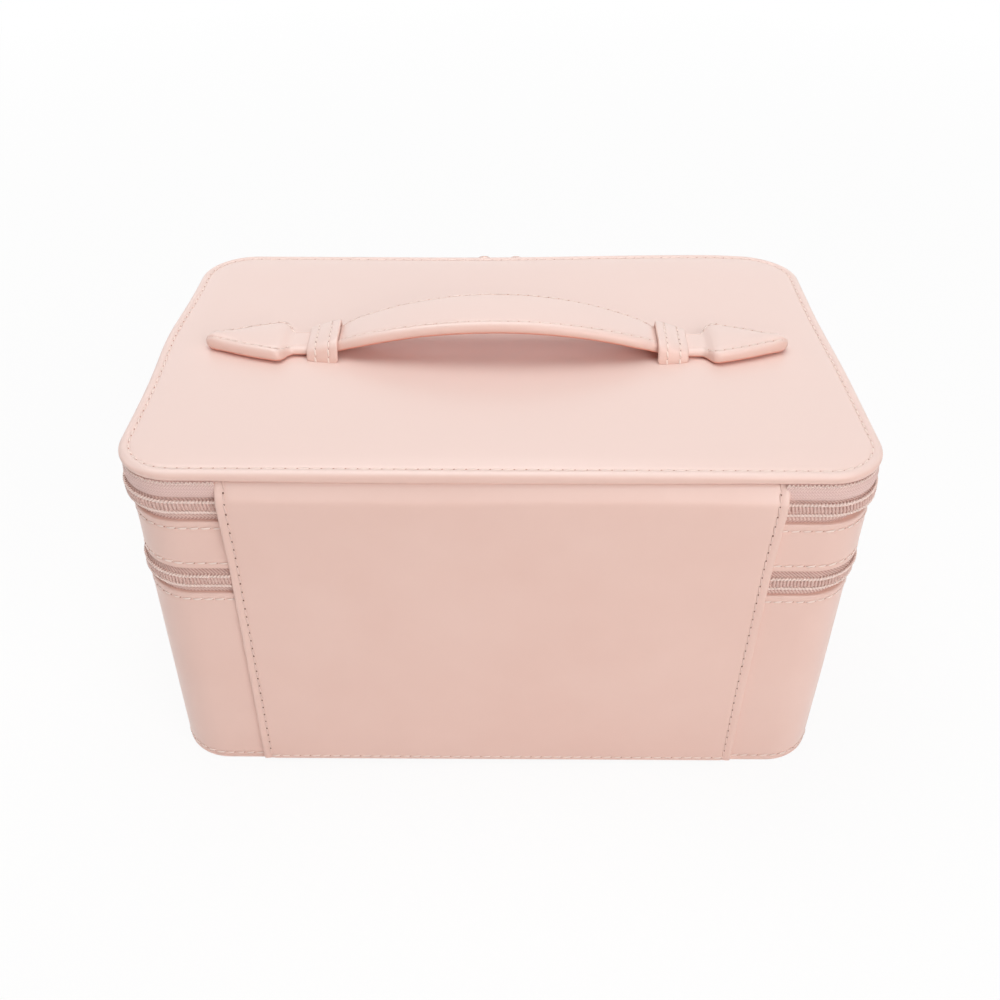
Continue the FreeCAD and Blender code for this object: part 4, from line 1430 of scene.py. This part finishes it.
def pull_half_width(t):
    """Half the width of the tab at a distance from the bar."""
    past = (t - pull_length + tip_long) / tip_long
    if past > 0:
        return tip_round * math.sqrt(max(1 - past ** 2, 0.001))
    return neck_half + (tip_round - neck_half) * ease(t, 2.2, 8.5)


def pull_section(t):
    """Section across the tab: a raised rim round a sunk face on both sides."""
    half = pull_half_width(t)
    thick = 0.68 * min(1.0, 0.45 + half / 2.2)
    rim_width = min(0.75, 0.4 * half)
    sunk = 0.26 * ease(t, 3.8, 5.2) * (1 - ease(t, pull_length - 1.5, pull_length - 0.8))
    front = [(half, thick, 0.35), (half - rim_width, thick, 0.15),
             (half - rim_width - 0.2, thick - sunk, 0.1)]
    top = front + [(-x, y, r) for x, y, r in reversed(front)]
    return rounded(top + [(-x, -y, r) for x, y, r in top], 2)


def hung(rings, middle_x, chain_z, degrees):
    """Rings of a pull turned about the bar of its slider."""
    turn = math.radians(degrees)
    x, y, z = np.moveaxis(np.asarray(rings, float), -1, 0)
    turned_y = y * math.cos(turn) - z * math.sin(turn)
    turned_z = y * math.sin(turn) + z * math.cos(turn)
    return np.stack([x + middle_x, turned_y + bridge_y, turned_z + chain_z], -1)


hoop = rounded([(-eye_half, 1.2, 0.25), (eye_half, 1.2, 0.25), (eye_half, 2.0, 0.4),
                (-eye_half, 2.0, 0.4)], 3)
tab_rings = [[(x, y, t) for x, y in pull_section(t)] for t in pull_steps]
eye_rings = [[(x, r * math.sin(angle), r * math.cos(angle)) for x, r in hoop]
             for angle in np.radians(np.arange(0, 360, 15))]
for level, degrees in (("upper", 8.0), ("lower", 180.0)):
    for name in ("left", "right"):
        node = f"{level}_pull_{name}"
        place = (*chain_places[level, name], degrees)
        tab = loft("tab", hung(tab_rings, *place), rose_plate)
        eye_ring = loft("eye", hung(eye_rings, *place), rose_plate, loop=True)
        pull = joined(f"{level}_pull_tab_{name}", [tab, eye_ring])
        stand_for(pull, node, "metal", node)

# %% [markdown]
# ## Hidden parts
# Boards, the cord in the rim and the rivets under the keepers are covered by leather and
# lining. They keep their CAD shape and get simple true finishes: grey board with short paper
# fibres, twisted cotton cord and nickel steel.

# %% Finishes of hidden parts
def speckled(name, colour, other, size, rough, metallic=0.0):
    """A finish with two mixed tones at a grain size in millimetres."""
    grain = {"Scale": per_mm(size), "Detail": 4.0}
    return two_toned(name, colour, other, "ShaderNodeTexNoise", grain, bump=(0.2, 0.05),
                     constants={"Roughness": rough, "Metallic": metallic})


grey_board = speckled("grey_paper_board", "#A39B93", "#857D76", 1.5, 0.9)
cotton_cord = speckled("twisted_cotton_cord", "#E9E0D2", "#CFC3B2", 0.6, 0.95)
nickel = speckled("nickel_steel", "#C9C6C1", "#B4B1AC", 0.8, 0.3, 1.0)
for node in ("base_wall_board", "base_floor_board", "tray_wall_board", "tray_floor_board", "lid_board",
             "lid_wall_board"):
    dress(node, grey_board)
dress("lid_rim_cord", cotton_cord)
dress("keeper_rivets", nickel)
for name in [obj.name for obj in bpy.data.objects if obj.name.startswith("unit_")]:
    bpy.data.objects.remove(bpy.data.objects[name])

# %% [markdown]
# ## A case that has settled
# Board and leather give a little. On the real case the right side leans out above the base,
# the upper zipper bulges at the corners and the lid is not quite square. A lattice could bend
# it all, but one small function of place is easier to follow: pieces that touch are moved
# alike, so no seam opens. Only what lies outside the boards moves, and the handle, the linings
# and the metal stay where they are.

# %% Let the outer pieces settle
lean_of_wall = ((0, 40, 80, 92, 98, 112, 118, 125, 131, 136),
                (0.0, 0.6, 0.9, 1.2, 2.0, 2.2, 2.0, 2.8, 2.0, 1.45))
lean_of_spine = ((0, 40, 136), (0.0, 0.4, 2.9))
corner_bulge, lid_shift, lid_lift = 1.2, 1.9, 1.7


def settled(x, y, z, lean):
    """How far each place on the outside moves sideways and up, in millimetres."""
    on_lid = ease(z, 133.0, 136.0)
    outside = np.maximum(1 - ease(wall_inset(x, y), 0.4, 1.7), on_lid)
    left = ease(-x, 50.0, 120.0)
    side = ease(x, 10.0, 90.0) * np.interp(z, *lean) * (1 - ease(y, -25.0, 35.0))
    bulge = corner_bulge * np.exp(-((z - 126.0) / 4.5) ** 2)
    side -= ease(-x, 98.0, 118.0) * bulge * ease(-y, 30.0, 60.0)
    side -= left * on_lid * lid_shift * np.exp(-((y - 9.0) / 25.0) ** 2)
    lift = lid_lift * ease(x, -20.0, 90.0) * (1 - 0.7 * ease(x, 92.0, 122.0)) * ease(y, 0.0, 80.0)
    return side * outside, lift * ease(z, 131.0, 139.5)


outer_pieces = ("base_skin", "base_seam_", "tray_skin", "tray_seam_", "lid_skin", "lid_seam_", "rim_",
                "spine_", "upper_tape_", "upper_coil_", "lower_tape_", "lower_coil_")
widest = 0.0
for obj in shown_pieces():
    if obj.name.startswith(outer_pieces):
        places = np.empty(3 * len(obj.data.vertices))
        obj.data.vertices.foreach_get("co", places)
        lean = lean_of_spine if obj.name.startswith("spine_") else lean_of_wall
        side, lift = settled(*(places.reshape(-1, 3).T / MM), lean)
        places[0::3] += side * MM
        places[2::3] += lift * MM
        obj.data.vertices.foreach_set("co", places)
        obj.data.update()
        widest = max(widest, side.max())
print("the side leans out by up to", round(widest, 1), "mm")
